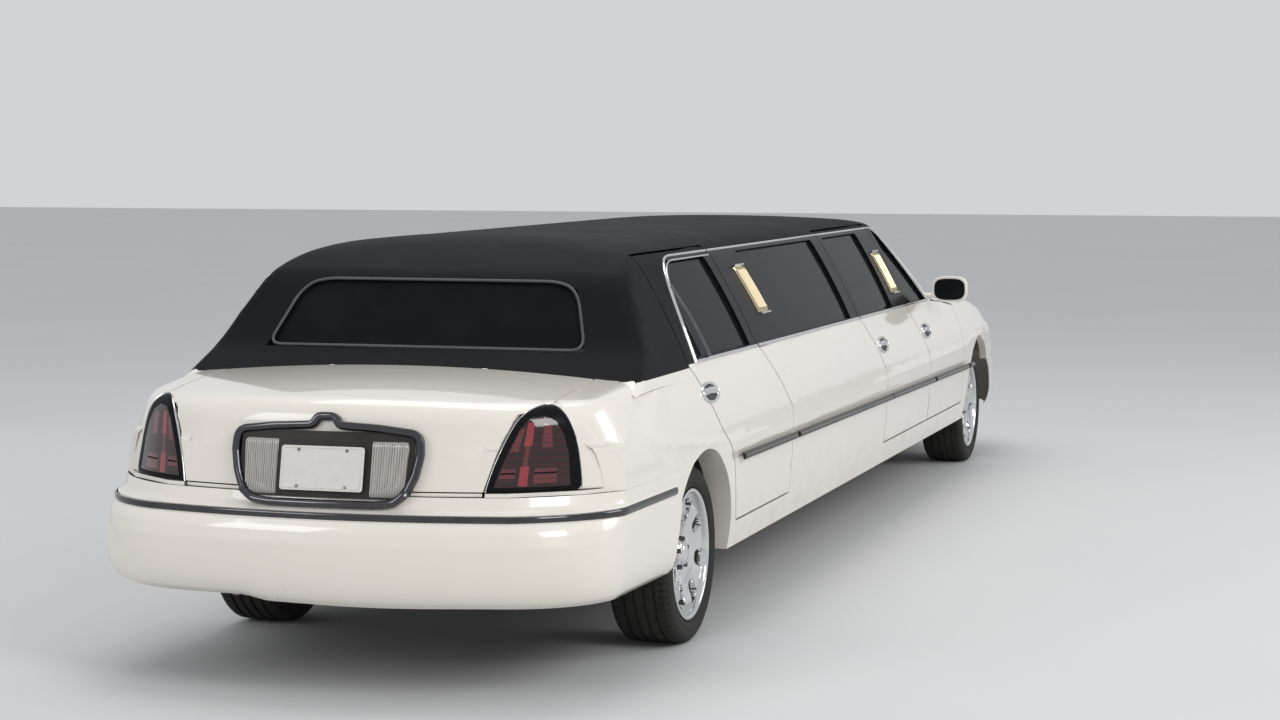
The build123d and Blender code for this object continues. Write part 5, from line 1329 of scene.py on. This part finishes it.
class LIMO_OT_mirrors(bpy.types.Operator):
    """Door mirrors with their dark glass"""

    bl_idname = "limousine.mirrors"
    bl_label = "Mirrors"

    def oval(self, a, side, half_width, half_height, share):
        """Side and height of points on a squarish oval, from its middle to its edge."""
        out, up = (np.sign(v) * np.abs(v) ** 0.62 for v in (np.cos(a), np.sin(a)))
        return side * (MIRROR_Y + half_width * out * share), MIRROR_Z + half_height * up * share

    def execute(self, context):
        for word, side in SIDES:
            door = word + "_front_door"

            def housing(i, j):
                a, b = i * math.tau / 48, -math.pi / 2 + j * math.pi / 24
                ring = np.sign(np.cos(b)) * np.abs(np.cos(b)) ** 0.7
                forward = np.maximum(np.sin(b), -0.35)
                reach = (MIRROR_FRONT - MIRROR_REAR - 25) * forward * np.where(forward > 0, 1, 1 / 1.4)
                oval = self.oval(a, side, 98, 72, ring)
                return from_stations(np.column_stack([MIRROR_REAR + 25 + reach, *oval]))

            shell = add_piece(word + "_mirror_shell", grid(48, 24, housing, True), door, "paint", sharp=40)
            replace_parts(shell, word + "_mirror")

            def glass(i, j):
                a, share = i * math.tau / 48, j / 8
                x = MIRROR_REAR + 6.5 - 1.5 * (1 - share**2)
                return from_stations(np.column_stack([x, *self.oval(a, side, 84, 58, share)]))

            bm = grid(48, 8, glass, True)
            bmesh.ops.solidify(bm, geom=bm.faces[:], thickness=0.002)
            add_piece(word + "_mirror_glass", bm, door, "glass", sharp=30)
            bm = bmesh.new()
            bmesh.ops.create_cube(bm, size=1, matrix=Matrix.Diagonal((0.060, 0.110, 0.026, 1)))
            rounding = {"offset": 0.010, "affect": "EDGES", "segments": 4, "profile": 0.5, "material": -1}
            bmesh.ops.bevel(bm, geom=bm.edges[:], **rounding)
            bmesh.ops.translate(bm, vec=row(COWL_X - 140, side * 900, 1058), verts=bm.verts)
            add_piece(word + "_mirror_foot", bm, door, "paint")
        return {"FINISHED"}


# Cushions: the crowned side as its axis, its direction and which of the other two axes the pleats divide
TOP, FACE = (2, 1, 1), (0, 1, 1)
BENCH_TOP, BENCH_FACE = (2, 1, 0), (1, -1, 0)
PLEAT_DEPTH = 9


class LIMO_OT_seats(bpy.types.Operator):
    """Stuffed seats with crowned, pleated cushions"""

    bl_idname = "limousine.seats"
    bl_label = "Seats"

    def pad(self, centre, size, tilt, pleats, crown, facing):
        """One cushion: a box rounded and crowned point by point, its pleats running across one axis."""
        bm = bmesh.new()
        bmesh.ops.create_cube(bm, size=2)
        bmesh.ops.subdivide_edges(bm, edges=bm.edges[:], cuts=26, use_grid_fill=True)
        half = np.array(size, float) / 2
        turned = Matrix.Rotation(math.radians(tilt), 3, "Y")
        axis, sign, pleated = facing
        others = [k for k in range(3) if k != axis]
        for vert in bm.verts:
            p = np.array(vert.co)
            ball = p / np.linalg.norm(p) * np.abs(p).max()
            p = p * 0.90 + ball * 0.14
            swell = max((1 - p[others[0]] ** 2) * (1 - p[others[1]] ** 2), 0)
            pleat = abs(math.sin(p[others[pleated]] * math.pi * pleats / 2))
            rise = crown * swell**0.5 + PLEAT_DEPTH * pleat**0.45 - PLEAT_DEPTH
            u = p * half
            u[axis] += sign * max(p[axis] * sign, 0) * rise
            vert.co = row(*centre) + turned @ Vector(u / 1000)
        return bm

    def execute(self, context):
        low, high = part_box("side_bench")
        x0, x1 = (to_stations([corner])[0, 0] for corner in (low, high))
        middle, length = (x0 + x1) / 2, x1 - x0
        # Name, middle, size, tilt in degrees, pleats, crown, crowned side, node that it replaces
        pads = [
            ("rear_seat_base", (330, 0, 545), (520, 1270, 190), -4, 13, 24, TOP, "rear_bench"),
            ("rear_seat_back", (-20, 0, 830), (150, 1270, 480), -17, 13, 22, FACE, None),
            ("side_seat_base", (middle, 510, 470), (length, 380, 260), 0, 25, 24, BENCH_TOP, "side_bench"),
            ("side_seat_back", (middle, 705, 775), (length, 110, 370), 0, 25, 18, BENCH_FACE, None),
        ]
        for word, side in SIDES:
            base, back = (COWL_X - 290, side * 390, 470), (COWL_X - 650, side * 390, 780)
            node = "front_seats" if word == "right" else None
            pads.append(("front_seat_base_" + word, base, (520, 480, 210), -4, 5, 22, TOP, node))
            pads.append(("front_seat_back_" + word, back, (150, 480, 620), -16, 5, 20, FACE, None))
        for name, *shape, node in pads:
            piece = add_piece(name, self.pad(*shape), "body", "leather", sharp=60)
            if node:
                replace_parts(piece, node)
        return {"FINISHED"}


class LIMO_OT_carried(bpy.types.Operator):
    """Finishes of the pieces that keep their modelled shape"""

    bl_idname = "limousine.carried"
    bl_label = "Carried pieces"

    def execute(self, context):
        door_glass = [node for node in NODES if node.endswith("_door_glass")]
        table = {
            "glass": ["side_glass", "rear_window", "windshield", *door_glass],
            "under": ["chassis_frame", "front_arms", "trunk_tub", "rear_bulkhead", "firewall", "engine"],
            "steel": ["rear_axle", "exhaust", "fuel_tank", "left_knuckle", "right_knuckle"],
            "plastic": ["dashboard", "steering_wheel", "partition"],
            "wood": ["bar_console"],
            "carpet": ["floor"],
            "chrome": ["grille"],
            "clear": ["headlamps"],
        }
        for finish, nodes in table.items():
            for node in nodes:
                NODES[node].data.materials.clear()
                NODES[node].data.materials.append(FINISHES[finish])
        return {"FINISHED"}


# Camera found from the photograph: place, heading, tilt and lens
CAMERA_PLACE = (-12.268, -3.622, 1.876)
CAMERA_HEADING = math.radians(17.10)
CAMERA_TILT = math.radians(4.66)
CAMERA_LENS = 73.6

# Studio lamps: name, place, target, power and size
LAMPS = [
    ("key", (-9, -10, 8), (-1, 0, 0.6), 520, 5),
    ("side", (3, -11, 5), (1, 0, 0.8), 300, 5),
    ("back", (-12, 6, 6), (-3, 0, 0.8), 200, 4),
    ("overhead", (0, 1, 9), (0, 0, 0), 220, 6),
]


class LIMO_OT_stage(bpy.types.Operator):
    """Floor, studio light and the camera of the photograph"""

    bl_idname = "limousine.stage"
    bl_label = "Stage"

    def execute(self, context):
        scene = context.scene
        self.ground(scene)
        self.light(scene)
        self.camera(scene)
        scene.view_settings.view_transform = "Standard"
        return {"FINISHED"}

    def put(self, scene, name, data):
        """A new object of the stage."""
        holder = bpy.data.objects.new(name, data)
        scene.collection.objects.link(holder)
        return holder

    def ground(self, scene):
        bm = bmesh.new()
        bmesh.ops.create_grid(bm, x_segments=1, y_segments=1, size=60)
        mesh = bpy.data.meshes.new("studio_floor")
        bm.to_mesh(mesh)
        bm.free()
        pale = mottled("stage", "pale_floor", (0.6,), (0.60, 0.60, 0.60), (0.64, 0.64, 0.63), 0.85)
        mesh.materials.append(pale.material)
        self.put(scene, "studio_floor", mesh)

    def light(self, scene):
        scene.world = bpy.data.worlds.new("studio")
        scene.world.use_nodes = True
        backdrop = scene.world.node_tree.nodes["Background"]
        backdrop.inputs["Color"].default_value = (0.80, 0.82, 0.85, 1)
        backdrop.inputs["Strength"].default_value = 0.8
        for name, place, target, power, size in LAMPS:
            light = bpy.data.lights.new(name, "AREA")
            light.energy = power
            light.size = size
            holder = self.put(scene, name, light)
            holder.location = place
            aim = Vector(target) - Vector(place)
            holder.rotation_euler = aim.to_track_quat("-Z", "Y").to_euler()

    def camera(self, scene):
        camera = bpy.data.cameras.new("camera")
        camera.lens = CAMERA_LENS
        camera.sensor_width = 36
        camera.clip_end = 200
        cy, sy = math.cos(CAMERA_HEADING), math.sin(CAMERA_HEADING)
        cp, sp = math.cos(CAMERA_TILT), math.sin(CAMERA_TILT)
        ahead = Vector((cy * cp, sy * cp, -sp))
        right = Vector((sy, -cy, 0))
        turn = Matrix((right, right.cross(ahead), -ahead)).transposed().to_4x4()
        scene.camera = self.put(scene, "camera", camera)
        scene.camera.matrix_world = Matrix.Translation(CAMERA_PLACE) @ turn


class LIMO_PT_panel(bpy.types.Panel):
    """The car's settings and its groups of pieces"""

    bl_label = "Limousine"
    bl_idname = "LIMO_PT_panel"
    bl_space_type = "VIEW_3D"
    bl_region_type = "UI"
    bl_category = "Limousine"

    def draw(self, context):
        for name in ("paint", "bead", "moulding", "tread_blocks"):
            self.layout.prop(context.scene.limousine, name)
        for operator in OPERATORS:
            self.layout.operator(operator.bl_idname)


OPERATORS = [
    LIMO_OT_stage,
    LIMO_OT_panels,
    LIMO_OT_bumpers,
    LIMO_OT_side_trim,
    LIMO_OT_tail,
    LIMO_OT_wheels,
    LIMO_OT_mirrors,
    LIMO_OT_seats,
    LIMO_OT_carried,
]
CLASSES = [LimousineSettings, *OPERATORS, LIMO_PT_panel]


def register():
    for cls in CLASSES:
        bpy.utils.register_class(cls)
    bpy.types.Scene.limousine = bpy.props.PointerProperty(type=LimousineSettings)


def unregister():
    del bpy.types.Scene.limousine
    for cls in reversed(CLASSES):
        bpy.utils.unregister_class(cls)


def main():
    register()
    make_paints(bpy.context.scene.limousine.paint)
    make_trims()
    make_running_gear()
    make_lenses()
    make_interior()
    for operator in OPERATORS:
        group, name = operator.bl_idname.split(".")
        getattr(getattr(bpy.ops, group), name)()


if __name__ == "__main__":
    main()
